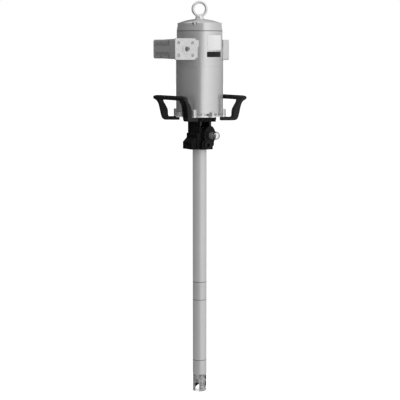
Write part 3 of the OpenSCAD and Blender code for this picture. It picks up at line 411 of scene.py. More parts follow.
@dataclass(frozen=True)
class Finish:
    """A surface finish with mottled colour, grain and softened edges.

    Mottle, speckle and rough_spread are shares of the colour and of the roughness. Pits and lines
    are the heights of hollows and turning lines beside the grain's. Inside core_r from the pump's
    axis the colour is dark, as painted shade in a bore. Rings are the X, the Z and the pitch of
    rings turned round a point.
    """

    GRAIN_DETAIL = 4.0
    GRAIN_BAND = (0.35, 0.65)
    MOTTLE_DETAIL = 5.0
    MOTTLE_BAND = (0.3, 0.7)
    SPOT_SHARE = 0.6
    SPOT_DETAIL = 2.0
    SPOT_BAND = (0.42, 0.6)
    CORE_SHADE_FADE = 0.6 * MM
    CORE_SHADE_GREY = 0.01
    RING_BAND = (-1.0, 1.0)
    RING_LEVELS = (0.94, 1.06)
    PIT_SHARE = 0.45
    PIT_BAND = (0.0, 0.45)
    LINE_SCALE = 2600.0
    LINE_DETAIL = 2.0
    LINE_STRETCH = (0.02, 0.02, 1.0)
    # Edges are lightened partly as wear and partly as painted highlight.
    WEAR_AND_HIGHLIGHT_BAND = (0.4, 0.6)
    WEAR_AND_HIGHLIGHT_LEVELS = (0.3, 1.0)
    ROUGH_SHARE = 4.0
    ROUGH_DETAIL = 6.0

    name: str
    colour: Colour
    metallic: float = 0.0
    roughness: float = 0.5
    rough_spread: float = 0.13
    specular: float = 0.5
    mottle: float = 0.06
    mottle_scale: float = 14.0
    grain_scale: float = 700.0
    grain_depth: float = 0.02 * MM
    edge_radius: float = 0.4 * MM
    edge_lift: float = 0.0
    pits: float = 0.0
    lines: float = 0.0
    speckle: float = 0.0
    core_r: float = 0.0
    rings: Point | None = None

    def paint(self, tree: Tree, fine: NodeSocket) -> NodeSocket:
        """Mottles the colour and adds its grain, speckle, the painted shade of a dark core, and
        rings.

        Args:
            tree: The material's tree.
            fine: The grain's pattern.

        Returns:
            The colour.
        """
        broad = tree.noise(self.mottle_scale, self.MOTTLE_DETAIL)
        dark = tuple(max(part * (1.0 - self.mottle), 0.0) for part in self.colour)
        light = tuple(min(part * (1.0 + self.mottle), 1.0) for part in self.colour)
        colour = tree.blend(tree.remap(broad, self.MOTTLE_BAND), dark, light)
        grain = tree.remap(fine, self.GRAIN_BAND, around(1.0, 0.5 * self.mottle))
        colour = tree.scaled(colour, grain)
        if self.speckle:
            spots = tree.noise(self.grain_scale * self.SPOT_SHARE, self.SPOT_DETAIL)
            spots = tree.remap(spots, self.SPOT_BAND, around(1.0, self.speckle))
            colour = tree.scaled(colour, spots)
        # Painted shade: inside core_r the colour fades to near black, standing in for the shade
        # in a bore.
        if self.core_r:
            away = tree.reach(ORIGIN, (1.0, 1.0, 0.0))
            outside = tree.remap(away, (self.core_r - self.CORE_SHADE_FADE, self.core_r))
            colour = tree.blend(outside, grey(self.CORE_SHADE_GREY), colour)
        if self.rings:
            x, z, pitch = self.rings
            away = tree.reach((x, 0.0, z), (1.0, 0.0, 1.0))
            wave = tree.maths("SINE", tree.maths("MULTIPLY", away, FULL_TURN / pitch))
            colour = tree.scaled(colour, tree.remap(wave, self.RING_BAND, self.RING_LEVELS))
        return colour

    def relief(self, tree: Tree, fine: NodeSocket) -> NodeSocket:
        """Adds the pits and the turning lines to the grain.

        Args:
            tree: The material's tree.
            fine: The grain's pattern.

        Returns:
            The height, as a pattern.
        """
        height = fine
        if self.pits:
            cells = tree.feed(tree.add("ShaderNodeTexVoronoi"), Vector=tree.place,
                              Scale=self.grain_scale * self.PIT_SHARE)
            hollow = tree.remap(cells.outputs["Distance"], self.PIT_BAND)
            height = tree.maths("ADD", height, tree.maths("MULTIPLY", hollow, self.pits))
        if self.lines:
            turned = tree.noise(self.LINE_SCALE, self.LINE_DETAIL, self.LINE_STRETCH)
            height = tree.maths("ADD", height, tree.maths("MULTIPLY", turned, self.lines))
        return height

    def build(self) -> Material:
        """Returns the finish as a procedural material."""
        tree = Tree(self.name)
        fine = tree.noise(self.grain_scale, self.GRAIN_DETAIL)
        colour = self.paint(tree, fine)
        height = self.relief(tree, fine)
        normal, edge = tree.edges(self.edge_radius)
        # Painted highlight mixed with wear: edges found by the bevel normal are lightened by
        # edge_lift, patchy along the grain.
        if self.edge_lift:
            worn_and_lit = tree.remap(fine, self.WEAR_AND_HIGHLIGHT_BAND, self.WEAR_AND_HIGHLIGHT_LEVELS)
            bright = tuple(min(part + self.edge_lift, 1.0) for part in self.colour)
            colour = tree.blend(tree.maths("MULTIPLY", edge, worn_and_lit), colour, bright)
        cloud = tree.noise(self.mottle_scale * self.ROUGH_SHARE, self.ROUGH_DETAIL)
        rough = tree.remap(cloud, self.MOTTLE_BAND, around(self.roughness, self.rough_spread))
        tree.feed(tree.shader, Base_Color=colour, Metallic=self.metallic, Roughness=rough,
                  Normal=tree.bump(height, self.grain_depth, normal),
                  Specular_IOR_Level=self.specular)
        return tree.material


class Slot(Enum):
    """The finishes of the record's material slots and of single pieces."""

    BODY = Finish("body_paint", grey(0.64), metallic=0.6, roughness=0.26, rough_spread=0.03,
                  mottle=0.01, grain_scale=1400.0, grain_depth=0.001 * MM)
    BRIGHT = Finish("bare_alloy", grey(0.6), metallic=0.6, roughness=0.33, mottle=0.03,
                    grain_scale=1100.0, grain_depth=0.006 * MM)
    FACED = Finish("faced_alloy", grey(0.63), metallic=0.55, roughness=0.3, mottle=0.05,
                   mottle_scale=60.0, rings=(-0.081, 0.297, 4.2 * MM))
    HEAD = Finish("bright_casting", grey(0.86), metallic=0.4, roughness=0.3, mottle=0.05,
                  grain_scale=800.0)
    ZINC = Finish("zinc_plate", grey(0.62), metallic=1.0, roughness=0.28, mottle=0.08)
    GROUND = Finish("ground_steel", grey(0.6), metallic=1.0, roughness=0.25, lines=0.6)
    CHROME = Finish("hard_chrome", grey(0.78), metallic=1.0, roughness=0.06, mottle=0.01,
                    grain_depth=0.002 * MM)
    # Painted shade: the chrome piston rod is painted near black for the shade inside the
    # casting's window.
    SHADED_ROD = Finish("shaded_rod", grey(0.06), metallic=0.9, roughness=0.2, mottle=0.15,
                         grain_depth=0.004 * MM)
    TUBE = Finish("plated_tube", grey(0.6), metallic=0.2, roughness=0.4, rough_spread=0.05,
                  mottle=0.02, grain_depth=0.006 * MM, lines=0.4)
    # The foot's core_r paints its bore near black as painted shade.
    FOOT = Finish("rough_casting", grey(0.4), metallic=0.3, roughness=0.55, mottle=0.12,
                  mottle_scale=60.0, grain_scale=330.0, grain_depth=0.35 * MM, pits=0.5,
                  edge_lift=0.1, speckle=0.42, core_r=19.4 * MM)
    TURNED = Finish("turned_tube", grey(0.6), metallic=0.25, roughness=0.4, mottle=0.03,
                    grain_depth=0.12 * MM, lines=1.0)
    EYE = Finish("plated_eye", grey(0.84), metallic=0.6, roughness=0.2, mottle=0.03,
                 grain_depth=0.004 * MM)
    CAST_BLACK = Finish("black_paint", grey(0.006), roughness=0.3, specular=0.09, mottle=0.3,
                        mottle_scale=60.0, grain_scale=300.0, grain_depth=0.12 * MM,
                        edge_radius=1.0 * MM, edge_lift=0.09)
    BLACK_STEEL = Finish("blackened_steel", grey(0.012), metallic=0.3, roughness=0.35,
                         specular=0.15, mottle=0.2, edge_lift=0.03)
    DARK_STEEL = Finish("dark_plate", grey(0.5), metallic=0.6, roughness=0.34, mottle=0.25,
                        mottle_scale=120.0, edge_lift=0.1)
    PLASTIC = Finish("black_plastic", grey(0.012), roughness=0.36, specular=0.24, mottle=0.25,
                     mottle_scale=90.0, grain_scale=1500.0, grain_depth=0.03 * MM,
                     edge_radius=0.6 * MM)
    RUBBER = Finish("seal_rubber", grey(0.014), roughness=0.7, mottle=0.15)
    PALE_PLATE = Finish("pale_plate", grey(0.82), roughness=0.3, mottle=0.02,
                        edge_radius=0.1 * MM)
    BLACK_PLATE = Finish("black_plate", grey(0.012), roughness=0.3, specular=0.16, mottle=0.1,
                         edge_radius=0.1 * MM)
    POLYMER = Finish("pale_polymer", grey(0.72, 0.04))
    BRONZE = Finish("bearing_bronze", (0.62, 0.4, 0.16), metallic=1.0, roughness=0.3, lines=0.5)


SLOTS = {
    "body_alloy": Slot.BODY,
    "bright_alloy": Slot.BRIGHT,
    "zinc_steel": Slot.ZINC,
    "ground_steel": Slot.GROUND,
    "hard_chrome": Slot.CHROME,
    "tube_steel": Slot.TUBE,
    "foot_casting": Slot.FOOT,
    "black_casting": Slot.CAST_BLACK,
    "black_steel": Slot.BLACK_STEEL,
    "dark_steel": Slot.DARK_STEEL,
    "black_plastic": Slot.PLASTIC,
    "seal_rubber": Slot.RUBBER,
    "pale_polymer": Slot.POLYMER,
    "bearing_bronze": Slot.BRONZE,
}

NODE_FINISH = {
    "piston_rod": Slot.SHADED_ROD,
    "lifting_eye": Slot.EYE,
    "base_head": Slot.HEAD,
    "front_end_cover": Slot.FACED,
    "rear_end_cover": Slot.FACED,
    "joining_sleeve": Slot.TURNED,
    "foot_valve_body": Slot.TURNED,
}


@dataclass
class Workshop:
    """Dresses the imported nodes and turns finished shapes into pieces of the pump."""

    frame: dict

    def __post_init__(self) -> None:
        """Builds every finish once."""
        self.materials = {slot: slot.value.build() for slot in Slot}

    def dress(self) -> None:
        """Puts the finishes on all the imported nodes."""
        for row in self.frame["record"]["subparts"]:
            node = self.frame["nodes"][row["node"]]
            finish = NODE_FINISH.get(row["node"], SLOTS[row["material_slot"]])
            material = self.materials[finish]
            node.data.materials.clear()
            node.data.materials.append(material)
            LOG.info("%s: %s", row["node"], material.name)

    def piece(self, name: str, shape: BMesh, slot: str, finish: Slot | None = None,
              body: str = "pump", smooth: bool = False) -> Object:
        """Makes a shape a piece that rides on a body.

        Args:
            name: The piece's name.
            shape: Its shape, in place, which is used up.
            slot: The record's material slot that it belongs to.
            finish: Its finish, if it isn't the slot's own.
            body: The body that carries it.
            smooth: Whether its faces are shaded smooth.

        Returns:
            The piece's object.
        """
        bmesh.ops.remove_doubles(shape, verts=shape.verts, dist=WELD)
        bmesh.ops.recalc_face_normals(shape, faces=shape.faces)
        for face in shape.faces:
            face.smooth = smooth
        mesh = written(name, shape)
        mesh.materials.append(self.materials[finish or SLOTS[slot]])
        item = linked(name, mesh)
        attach(item, body)
        LOG.info("%s: %d faces", name, len(mesh.polygons))
        return item


@dataclass(frozen=True)
class Port:
    """A threaded port: the middle of its mouth, the way out of it, its thread and its finish."""

    name: str
    mouth: Point
    out: Point
    core_r: float
    pitch: float
    turns: int
    slot: str
    finish: Slot


@dataclass
class Threads:
    """The threads in the air inlet and the grease outlet, as ridges on the bores' walls.

    A ridge stands on the wall with its foot sunk in it. The foot's half width is a share of the
    pitch, and the crest's half width a share of the foot's.
    """

    workshop: Workshop
    ridge: float = 0.55 * MM
    sunk: float = 0.02 * MM
    foot_share: float = 0.42
    crest_share: float = 0.2
    steps: int = 48
    ports: tuple[Port, ...] = (
        Port("inlet_thread", mouth=(-0.081, -0.065, 0.297), out=(0.0, -1.0, 0.0),
             core_r=7.5 * MM, pitch=1.337 * MM, turns=5, slot="bright_alloy", finish=Slot.HEAD),
        Port("outlet_thread", mouth=(-0.042, 0.0, 0.0134), out=(-1.0, 0.0, 0.0),
             core_r=9.3 * MM, pitch=1.814 * MM, turns=8, slot="black_casting",
             finish=Slot.CAST_BLACK),
    )

    def cut(self, port: Port) -> None:
        """Winds one port's ridge from its inner end out to its mouth.

        Args:
            port: The port.
        """
        shape = bmesh.new()
        depth = port.pitch * (port.turns + 1.0)
        foot = port.pitch * self.foot_share
        crest = foot * self.crest_share
        foot_r = port.core_r + self.sunk
        crest_r = port.core_r - self.ridge
        points = ((foot_r, -foot), (crest_r, -crest), (crest_r, crest), (foot_r, foot))
        corners = [shape.verts.new((r, 0.0, z - depth)) for r, z in points]
        face = shape.faces.new(corners)
        spin(shape, [face], FULL_TURN * port.turns, self.steps * port.turns,
             rise=port.pitch / self.steps)
        aim = Vector(port.out).to_track_quat("Z", "Y").to_matrix().to_4x4()
        moved = Matrix.Translation(port.mouth) @ aim
        bmesh.ops.transform(shape, matrix=moved, verts=shape.verts)
        self.workshop.piece(port.name, shape, port.slot, port.finish)

    def build(self) -> None:
        """Cuts both threads."""
        for port in self.ports:
            self.cut(port)


# Painted shade: near-black beads fill the joint grooves so that the joint lines show dark.
@dataclass
class JointShadeBeads:
    """The dark beads in the grooves of the top cover's joint and the tube's screwed joints.

    A bead's crown falls off to its half width, and its foot is a share of that.
    """

    workshop: Workshop
    cover_z: float = 0.35
    cover_r: float = 67.75 * MM
    tube_zs: tuple[float, ...] = (-0.405, -0.46, -0.647)
    tube_r: float = 20.95 * MM
    depth: float = 0.75 * MM
    half_w: float = 0.7 * MM
    foot_share: float = 0.2
    crown: float = 0.15 * MM
    steps: int = 144

    def bead(self, name: str, radius: float, height: float) -> None:
        """Spins one bead.

        Args:
            name: The bead's name.
            radius: Its outer radius.
            height: Height of its middle.
        """
        shape = bmesh.new()
        foot = self.foot_share * self.half_w
        points = ((radius - self.depth, -foot), (radius - self.crown, -self.half_w),
                  (radius, 0.0), (radius - self.crown, self.half_w), (radius - self.depth, foot))
        corners = [shape.verts.new((r, 0.0, height + z)) for r, z in points]
        edges = [shape.edges.new(pair) for pair in zip(corners, corners[1:] + corners[:1])]
        spin(shape, corners + edges, FULL_TURN, self.steps, close=True)
        # The seal_rubber slot gives the bead its near-black colour, which paints the shade in the
        # groove.
        self.workshop.piece(name, shape, "seal_rubber", smooth=True)

    def build(self) -> None:
        """Spins every bead."""
        self.bead("cover_joint", self.cover_r, self.cover_z)
        for number, height in enumerate(self.tube_zs, start=1):
            self.bead(f"tube_joint_{number}", self.tube_r, height)


@dataclass(frozen=True)
class Plate:
    """A bare plate: its left and right end in degrees round the barrel, and its heights."""

    name: str
    first: float
    last: float
    low: float
    high: float
    slot: str
    finish: Slot


@dataclass
class Plates:
    """The pale plate and the black plate on the barrel, both bare."""

    workshop: Workshop
    seat_r: float = 68.0 * MM
    thick: float = 0.5 * MM
    steps: int = 32
    corner: float = 2.2 * MM
    corner_steps: int = 5
    rim: float = 0.12 * MM
    rim_angle: float = 0.8
    end_gap: float = 0.1
    plates: tuple[Plate, ...] = (
        Plate("pale_plate", 259.5, 306.0, 0.2945, 0.3375, "pale_polymer", Slot.PALE_PLATE),
        Plate("black_plate", 257.6, 303.9, 0.2734, 0.2893, "black_plastic", Slot.BLACK_PLATE),
    )

    def bend(self, plate: Plate) -> None:
        """Bends one plate round the barrel and rounds its corners and its rim.

        Args:
            plate: The plate.
        """
        shape = bmesh.new()
        first = math.radians(plate.first)
        outer_r = self.seat_r + self.thick
        points = ((self.seat_r, plate.low), (outer_r, plate.low),
                  (outer_r, plate.high), (self.seat_r, plate.high))
        corners = [shape.verts.new((r * math.cos(first), r * math.sin(first), z))
                   for r, z in points]
        face = shape.faces.new(corners)
        spin(shape, [face], math.radians(plate.last - plate.first), self.steps)
        bmesh.ops.remove_doubles(shape, verts=shape.verts, dist=WELD)
        ends = [edge for edge in shape.edges if self.radial(edge) and self.at_end(edge, plate)]
        bevel(shape, ends, self.corner, self.corner_steps)
        rim = [edge for edge in shape.edges
               if self.outer(edge) and edge.calc_face_angle(0.0) > self.rim_angle]
        bevel(shape, rim, self.rim, 1)
        self.workshop.piece(plate.name, shape, plate.slot, plate.finish)

    def radial(self, edge: BMEdge) -> bool:
        """Tells whether an edge runs through the plate's thickness."""
        inner, outer = sorted(vert.co.to_2d().length for vert in edge.verts)
        return outer - inner > 0.5 * self.thick

    def at_end(self, edge: BMEdge, plate: Plate) -> bool:
        """Tells whether an edge stands at the plate's left or right end.

        Args:
            edge: The edge.
            plate: The plate.

        Returns:
            True if it does.
        """
        turn = math.degrees(math.atan2(edge.verts[0].co.y, edge.verts[0].co.x)) % 360.0
        return min(abs(turn - plate.first), abs(turn - plate.last)) < self.end_gap

    def outer(self, edge: BMEdge) -> bool:
        """Tells whether an edge lies on the plate's outer face."""
        least = self.seat_r + 0.9 * self.thick
        return all(vert.co.to_2d().length > least for vert in edge.verts)

    def build(self) -> None:
        """Bends both plates."""
        for plate in self.plates:
            self.bend(plate)


@dataclass(frozen=True)
class Spring:
    """A pilot valve's spring: its node, the joint that presses it and its two ends' heights."""

    node: str
    joint: str
    fixed_z: float
    free_z: float


@dataclass
class PilotSprings:
    """The two springs behind the pilot pins."""

    workshop: Workshop
    pin_y: float = 40.0 * MM
    travel: float = 5.0 * MM
    springs: tuple[Spring, ...] = (
        Spring("upper_pilot_spring", "upper_pilot_push", 0.33455, 0.32273),
        Spring("lower_pilot_spring", "lower_pilot_push", 0.09905, 0.11087),
    )

    def build(self) -> None:
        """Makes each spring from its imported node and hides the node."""
        rows = {row["node"]: row for row in self.workshop.frame["record"]["subparts"]}
        for spring in self.springs:
            shape = bmesh.new()
            shape.from_mesh(self.workshop.frame["nodes"][spring.node].data)
            slot = rows[spring.node]["material_slot"]
            wire = self.workshop.piece(f"{spring.node}_wire", shape, slot, smooth=True)
            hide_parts(spring.node)
            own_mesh(wire)


@dataclass
class Handles:
    """The two carrying handles: a round grip on channelled legs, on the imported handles' feet.

    A row of leg holds a section's height over the foot, its reach from the bolt to the inner and
    the outer side, its edges towards the grip's middle and away from it, and the channel's depth
    as a share of the section. A row of top holds a height, the X and Y of four corners and the
    channel's depth. Heights and places are in millimetres. Corner and corner_cut are how far a
    section's rounding reaches and how deep it cuts; lip and bed are where the channel's edge and
    its bottom begin. All four are shares.
    """

    workshop: Workshop
    bolt_xy: float = 50.91 * MM
    leg_turn: float = 26.0
    foot_z: float = 85.9 * MM
    foot_cut_x: float = 70.0 * MM
    foot_cut_gap: float = 1e-7
    grip_x: float = 99.0 * MM
    grip_z: float = 153.9 * MM
    grip_size: Point = (21.0 * MM, 150.0 * MM, 13.0 * MM)
    grip_round: float = 6.0 * MM
    grip_steps: int = 6
    corner: float = 0.2
    corner_cut: float = 0.29
    lip: float = 0.25
    bed: float = 0.29
    voxel: float = 0.9 * MM
    smoothings: int = 4
    leg: tuple[tuple[float, ...], ...] = (
        (0.2, 20.5, 34.0, -9.6, 9.6, 0.0), (1.2, 20.0, 38.0, -10.3, 10.3, 0.0),
        (3.5, 19.5, 41.6, -10.5, 10.6, 0.0), (7.0, 19.5, 44.0, -10.5, 10.9, 0.0),
        (10.0, 19.5, 45.2, -10.5, 11.3, 0.0), (11.0, 22.4, 45.5, -10.5, 11.5, 0.1),
        (13.0, 24.4, 46.0, -10.5, 12.2, 0.36), (16.0, 25.2, 46.8, -10.5, 13.0, 0.42),
        (24.0, 25.3, 48.4, -10.6, 13.8, 0.42), (30.0, 25.8, 49.7, -10.6, 13.9, 0.42),
        (36.0, 27.6, 51.0, -10.6, 13.8, 0.42), (44.0, 31.8, 52.9, -10.4, 13.5, 0.42),
        (50.0, 35.3, 54.8, -10.2, 13.2, 0.4),
    )
    top: tuple[tuple[float, ...], ...] = (
        (54.5, 88.6, 58.5, 105.9, 64.5, 97.0, 87.8, 82.2, 80.6, 0.36),
        (58.0, 88.8, 59.0, 107.2, 62.0, 99.8, 89.2, 85.6, 82.8, 0.15),
        (61.5, 88.8, 59.5, 108.6, 60.0, 105.0, 92.2, 88.6, 84.6, 0.0),
        (64.0, 88.5, 60.0, 109.3, 60.0, 108.8, 94.6, 89.6, 85.6, 0.0),
        (69.0, 88.5, 60.0, 109.4, 60.0, 109.3, 95.2, 89.9, 85.6, 0.0),
        (71.0, 89.0, 60.0, 109.0, 60.0, 108.8, 94.2, 90.2, 83.8, 0.0),
        (72.8, 90.6, 60.0, 107.4, 60.0, 107.0, 91.8, 91.2, 80.8, 0.0),
        (74.0, 92.8, 60.0, 105.2, 60.0, 104.8, 87.0, 93.0, 76.5, 0.0),
        (74.5, 95.5, 60.0, 102.5, 60.0, 102.0, 81.0, 95.6, 72.0, 0.0),
    )

    def ring(self, corners: list[Pair], channel: float) -> list[Pair]:
        """Works out a leg's section as a rounded ring with a channel in its outer side.

        Args:
            corners: The inner and outer corner towards the grip's middle, then the outer and
                inner one away from it.
            channel: Depth of the channel as a share of the section.

        Returns:
            The ring's points.
        """
        far, near = self.corner, self.corner_cut * self.corner
        bottom = 1 - channel
        shares = ((0, far), (near, near), (far, 0),
                  (1 - far, 0), (1 - near, near), (1, far),
                  (1, self.lip), (bottom, self.bed), (bottom, 1 - self.bed), (1, 1 - self.lip),
                  (1, 1 - far), (1 - near, 1 - near), (1 - far, 1),
                  (far, 1), (near, 1 - near), (0, 1 - far))
        first, second, third, fourth = (Vector(corner) for corner in corners)
        return [tuple(first.lerp(second, out).lerp(fourth.lerp(third, out), along))
                for out, along in shares]

    def from_bolt(self, along: float, across: float) -> Pair:
        """Finds a place on a leg.

        Args:
            along: Millimetres from the bolt along the leg.
            across: Millimetres from the bolt across it.

        Returns:
            The place's X and Y.
        """
        cos = math.cos(math.radians(self.leg_turn))
        sin = math.sin(math.radians(self.leg_turn))
        return (self.bolt_xy + (along * cos - across * sin) * MM,
                self.bolt_xy + (along * sin + across * cos) * MM)

    def stations(self) -> list[tuple[float, list[Pair]]]:
        """Returns the height and the ring of each section of a leg, from the foot to the top."""
        rows = []
        for z, inner, outer, near, far, channel in self.leg:
            sides = ((inner, near), (outer, near), (outer, far), (inner, far))
            corners = [self.from_bolt(along, across) for along, across in sides]
            rows.append((self.foot_z + z * MM, self.ring(corners, channel)))
        for z, *places, channel in self.top:
            corners = [(x * MM, y * MM) for x, y in zip(places[::2], places[1::2])]
            rows.append((self.foot_z + z * MM, self.ring(corners, channel)))
        return rows

    def add_leg(self, shape: BMesh) -> None:
        """Extrudes a leg upward, ring by ring, and keeps its lowest face.

        Args:
            shape: The shape to add it to.
        """
        (low, first), *rest = self.stations()
        verts = [shape.verts.new((x, y, low)) for x, y in first]
        face = shape.faces.new(verts)
        keep = True
        for height, ring in rest:
            made = bmesh.ops.extrude_face_region(shape, geom=[face], use_keep_orig=keep)["geom"]
            keep = False
            face = next(item for item in made if isinstance(item, BMFace))
            verts = self.follow(verts, face)
            for vert, (x, y) in zip(verts, ring):
                vert.co = (x, y, height)

    def follow(self, verts: list[BMVert], face: BMFace) -> list[BMVert]:
        """Sorts an extruded face's corners.

        Args:
            verts: The corners that it was extruded from.
            face: The extruded face.

        Returns:
            Its corners, in the order of the ones that they came from.
        """
        fresh = set(face.verts)
        return [next(edge.other_vert(vert) for edge in vert.link_edges
                     if edge.other_vert(vert) in fresh)
                for vert in verts]

    def add_grip(self, shape: BMesh) -> None:
        """Adds the round grip along Y.

        Args:
            shape: The shape to add it to.
        """
        made = bmesh.ops.create_cube(shape, size=1.0)["verts"]
        bmesh.ops.scale(shape, vec=self.grip_size, verts=made)
        bmesh.ops.translate(shape, vec=(self.grip_x, 0.0, self.grip_z), verts=made)
        fresh = set(made)
        half = 0.5 * self.grip_size[1]
        long = [edge for edge in shape.edges if edge.verts[0] in fresh
                and abs(edge.verts[0].co.y - edge.verts[1].co.y) > half]
        bevel(shape, long, self.grip_round, self.grip_steps)

    def add_feet(self, shape: BMesh, node: str, side: float) -> None:
        """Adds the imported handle's feet, cut off where the legs begin.

        Args:
            shape: The shape to add them to.
            node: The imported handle.
            side: 1 for the handle on +X and -1 for the one on -X.
        """
        feet = bmesh.new()
        feet.from_mesh(self.workshop.frame["nodes"][node].data)
        bmesh.ops.scale(feet, vec=(side, 1.0, 1.0), verts=feet.verts)
        bmesh.ops.remove_doubles(feet, verts=feet.verts, dist=WELD)
        bmesh.ops.recalc_face_normals(feet, faces=feet.faces)
        everything = list(feet.verts) + list(feet.edges) + list(feet.faces)
        bmesh.ops.bisect_plane(feet, geom=everything, dist=self.foot_cut_gap,
                               plane_co=(self.foot_cut_x, 0.0, 0.0), plane_no=(1.0, 0.0, 0.0),
                               clear_outer=True)
        rims = [edge for edge in feet.edges if edge.is_boundary]
        bmesh.ops.holes_fill(feet, edges=rims, sides=0)
        mesh = written("feet", feet)
        shape.from_mesh(mesh)
        bpy.data.meshes.remove(mesh)

    def parts(self, node: str, side: float) -> BMesh:
        """Puts a handle's parts together, overlapping, as one on +X.

        Args:
            node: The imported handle.
            side: 1 for the handle on +X and -1 for the one on -X.

        Returns:
            The parts.
        """
        shape = bmesh.new()
        self.add_leg(shape)
        leg = list(shape.verts) + list(shape.edges) + list(shape.faces)
        bmesh.ops.recalc_face_normals(shape, faces=shape.faces)
        bmesh.ops.mirror(shape, geom=leg, axis="Y", merge_dist=-1.0)
        self.add_grip(shape)
        bmesh.ops.recalc_face_normals(shape, faces=shape.faces)
        self.add_feet(shape, node, side)
        return shape

    def fused(self, shape: BMesh) -> BMesh:
        """Fuses overlapping parts and smooths the edges between them.

        Args:
            shape: The parts, which are used up.

        Returns:
            The fused shape.
        """
        mesh = written("raw", shape)
        raw = linked("raw", mesh)
        fuse = raw.modifiers.new("fuse", "REMESH")
        fuse.mode = "VOXEL"
        fuse.voxel_size = self.voxel
        bpy.context.view_layer.update()
        fused = bmesh.new()
        fused.from_object(raw, bpy.context.evaluated_depsgraph_get())
        bpy.data.objects.remove(raw)
        bpy.data.meshes.remove(mesh)
        for _ in range(self.smoothings):
            bmesh.ops.smooth_vert(fused, verts=fused.verts, factor=0.5, use_axis_x=True,
                                  use_axis_y=True, use_axis_z=True)
        return fused

    def mould(self, name: str, node: str, side: float) -> None:
        """Makes one handle's moulding.

        Args:
            name: The moulding's name.
            node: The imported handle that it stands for.
            side: 1 for the handle on +X and -1 for the one on -X.
        """
        shape = self.fused(self.parts(node, side))
        bmesh.ops.scale(shape, vec=(side, 1.0, 1.0), verts=shape.verts)
        moulding = self.workshop.piece(name, shape, "black_plastic", smooth=True)
        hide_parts(node)

    def build(self) -> None:
        """Moulds both handles."""
        self.mould("right_handle_moulding", "right_handle", 1.0)
        self.mould("left_handle_moulding", "left_handle", -1.0)


@dataclass(frozen=True)
class Card:
    """A bent card round the pump that only gloss shows.

    Its levels are pairs of degrees right of the way to the camera and the brightness there, from
    left to right. A card with an inner radius also runs in over the floor as far as that.
    """

    name: str
    low: float
    high: float
    levels: tuple[Pair, ...]
    inner_r: float | None = None


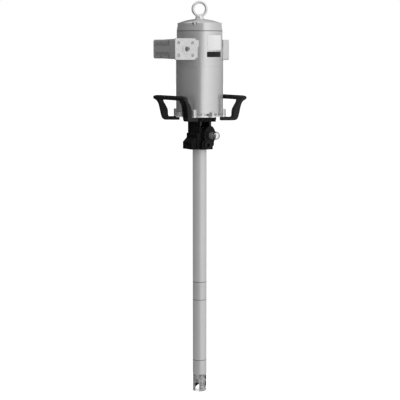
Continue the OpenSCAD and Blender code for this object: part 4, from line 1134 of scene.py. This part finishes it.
@dataclass
class Studio:
    """A pale floor, a large softbox on the right, cards round the pump and the camera."""

    FLOOR_Z = -0.7442
    CARD_LOW = FLOOR_Z + 0.001
    CARD_STEP = 0.3
    CARD_TOP = 1.3
    CARD_INNER_R = 0.09

    azimuth: float = -31.0
    distance: float = 3.75
    eye_height: float = 0.294
    pitch: float = 6.84
    focal_px: float = 1250.0
    frame_px: float = 400.0
    axis_px: float = 199.6
    sensor: float = 36.0
    clip_end: float = 60.0
    floor_size: float = 30.0
    floor_grey: float = 0.86
    floor_rough: float = 0.9
    floor_glow: float = 0.62
    world_level: float = 0.55
    softbox_turn: float = 62.0
    softbox_distance: float = 1.75
    softbox_size: float = 2.6
    softbox_z: float = 0.25
    softbox_level: float = 1.05
    card_r: float = 1.5
    cards: tuple[Card, ...] = (
        Card("card_left_low", CARD_LOW, CARD_STEP, (
            (-180.0, 0.04), (-100.0, 0.04), (-80.0, 0.09), (-40.0, 0.1), (-16.0, 0.12),
            (-6.0, 0.16), (7.0, 0.25)), CARD_INNER_R),
        Card("card_right_low", CARD_LOW, CARD_STEP, (
            (7.0, 1.15), (20.0, 1.22), (30.0, 1.16), (40.0, 1.04), (51.0, 0.96), (62.0, 0.86),
            (73.0, 0.76), (86.0, 0.66), (100.0, 0.56), (117.0, 0.45), (139.0, 0.3),
            (180.0, 0.15)), CARD_INNER_R),
        Card("card_left_high", CARD_STEP, CARD_TOP, (
            (-180.0, 0.12), (-100.0, 0.12), (-60.0, 0.2), (-30.0, 0.25), (0.0, 0.32),
            (22.0, 0.4))),
        Card("card_right_high", CARD_STEP, CARD_TOP, (
            (22.0, 1.5), (34.0, 1.34), (51.0, 1.1), (73.0, 0.85), (100.0, 0.7), (139.0, 0.6),
            (180.0, 0.4))),
    )

    def heading(self, turn: float) -> Vector:
        """Finds a level direction.

        Args:
            turn: Degrees right of the way to the camera.

        Returns:
            The direction.
        """
        angle = math.radians(self.azimuth + turn)
        return Vector((math.sin(angle), -math.cos(angle), 0.0))

    def camera(self) -> None:
        """Stands the camera where the photograph was taken from."""
        data = bpy.data.cameras.new("camera")
        data.sensor_width = self.sensor
        data.lens = data.sensor_width * self.focal_px / self.frame_px
        data.clip_end = self.clip_end
        camera = linked("camera", data)
        side = (self.axis_px - self.frame_px / 2) / self.focal_px * self.distance
        camera.location = self.heading(0.0) * self.distance - self.heading(90.0) * side
        camera.location.z = self.eye_height
        pitch = math.radians(90.0 - self.pitch)
        camera.rotation_euler = (pitch, 0.0, math.radians(self.azimuth))
        bpy.context.scene.camera = camera

    def floor(self) -> None:
        """Lays a white floor that keeps the pump's shadow."""
        shape = bmesh.new()
        bmesh.ops.create_grid(shape, x_segments=1, y_segments=1, size=self.floor_size)
        bmesh.ops.translate(shape, vec=(0.0, 0.0, self.FLOOR_Z), verts=shape.verts)
        floor = linked("floor", written("floor", shape))
        tree = Tree("floor")
        glow = tree.maths("MULTIPLY", tree.seen(), self.floor_glow)
        tree.feed(tree.shader, Base_Color=(*grey(self.floor_grey), 1.0),
                  Roughness=self.floor_rough, Specular_IOR_Level=0.0,
                  Emission_Color=WHITE, Emission_Strength=glow)
        floor.data.materials.append(tree.material)

    def world(self) -> None:
        """Makes the world white to the camera and softer as a light."""
        world = bpy.data.worlds.new("studio")
        bpy.context.scene.world = world
        world.use_nodes = True
        world.cycles.sampling_method = "NONE"
        graph = Graph(world.node_tree)
        strength = graph.remap(graph.seen(), (0.0, 1.0), (self.world_level, 1.0))
        graph.feed(graph.nodes["Background"], Color=WHITE, Strength=strength)

    def softbox(self) -> None:
        """Stands a square lamp on the right that faces the pump, where level 1 is white."""
        data = bpy.data.lights.new("softbox", "AREA")
        data.shape = "RECTANGLE"
        data.size = data.size_y = self.softbox_size
        data.energy = self.softbox_level * math.pi * self.softbox_size * self.softbox_size
        lamp = linked("softbox", data)
        place = self.heading(self.softbox_turn) * self.softbox_distance
        aim = Vector((-place.x, -place.y, 0.0))
        lamp.location = (place.x, place.y, self.softbox_z)
        lamp.rotation_euler = aim.to_track_quat("-Z", "Y").to_euler()
        lamp.visible_camera = False
        lamp.visible_glossy = False

    def bent(self, spec: Card) -> BMesh:
        """Bends a card round the pump, with its brightness on its vertices.

        Args:
            spec: The card.

        Returns:
            Its shape.
        """
        shape = bmesh.new()
        layer = shape.verts.layers.float.new("level")
        points = [(self.card_r, spec.low), (self.card_r, spec.high)]
        if spec.inner_r is not None:
            points.insert(0, (spec.inner_r, spec.low))
        (start, level), *rest = spec.levels
        way = self.heading(start)
        verts = [shape.verts.new(way * r + Vector((0.0, 0.0, z))) for r, z in points]
        edges = [shape.edges.new(pair) for pair in zip(verts, verts[1:])]
        for vert in verts:
            vert[layer] = level
        for end, level in rest:
            made = spin(shape, verts + edges, math.radians(end - start), 1)
            verts = [item for item in made if isinstance(item, BMVert)]
            edges = [item for item in made if isinstance(item, BMEdge)]
            for vert in verts:
                vert[layer] = level
            start = end
        return shape

    def stand(self, spec: Card) -> None:
        """Stands a card round the pump.

        Args:
            spec: The card.
        """
        card = linked(spec.name, written(spec.name, self.bent(spec)))
        tree = Tree(spec.name)
        tree.nodes.remove(tree.shader)
        level = tree.add("ShaderNodeAttribute", attribute_name="level").outputs["Fac"]
        light = tree.feed(tree.add("ShaderNodeEmission"), Strength=level)
        tree.links.new(light.outputs["Emission"], tree.output.inputs["Surface"])
        tree.material.cycles.emission_sampling = "NONE"
        card.data.materials.append(tree.material)
        card.visible_camera = False
        card.visible_diffuse = False
        card.visible_shadow = False

    def build(self) -> None:
        """Builds the whole studio."""
        self.camera()
        self.floor()
        self.world()
        self.softbox()
        for spec in self.cards:
            self.stand(spec)
        bpy.context.scene.view_settings.view_transform = "Standard"


def main() -> None:
    """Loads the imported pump, dresses it and builds the studio."""
    logging.basicConfig(level=logging.WARNING, format="%(name)s %(message)s")
    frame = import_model()
    workshop = Workshop(frame)
    workshop.dress()
    JointShadeBeads(workshop).build()
    Plates(workshop).build()
    Handles(workshop).build()
    PilotSprings(workshop).build()
    Threads(workshop).build()
    Studio().build()
    bpy.context.view_layer.update()


if __name__ == "__main__":
    main()
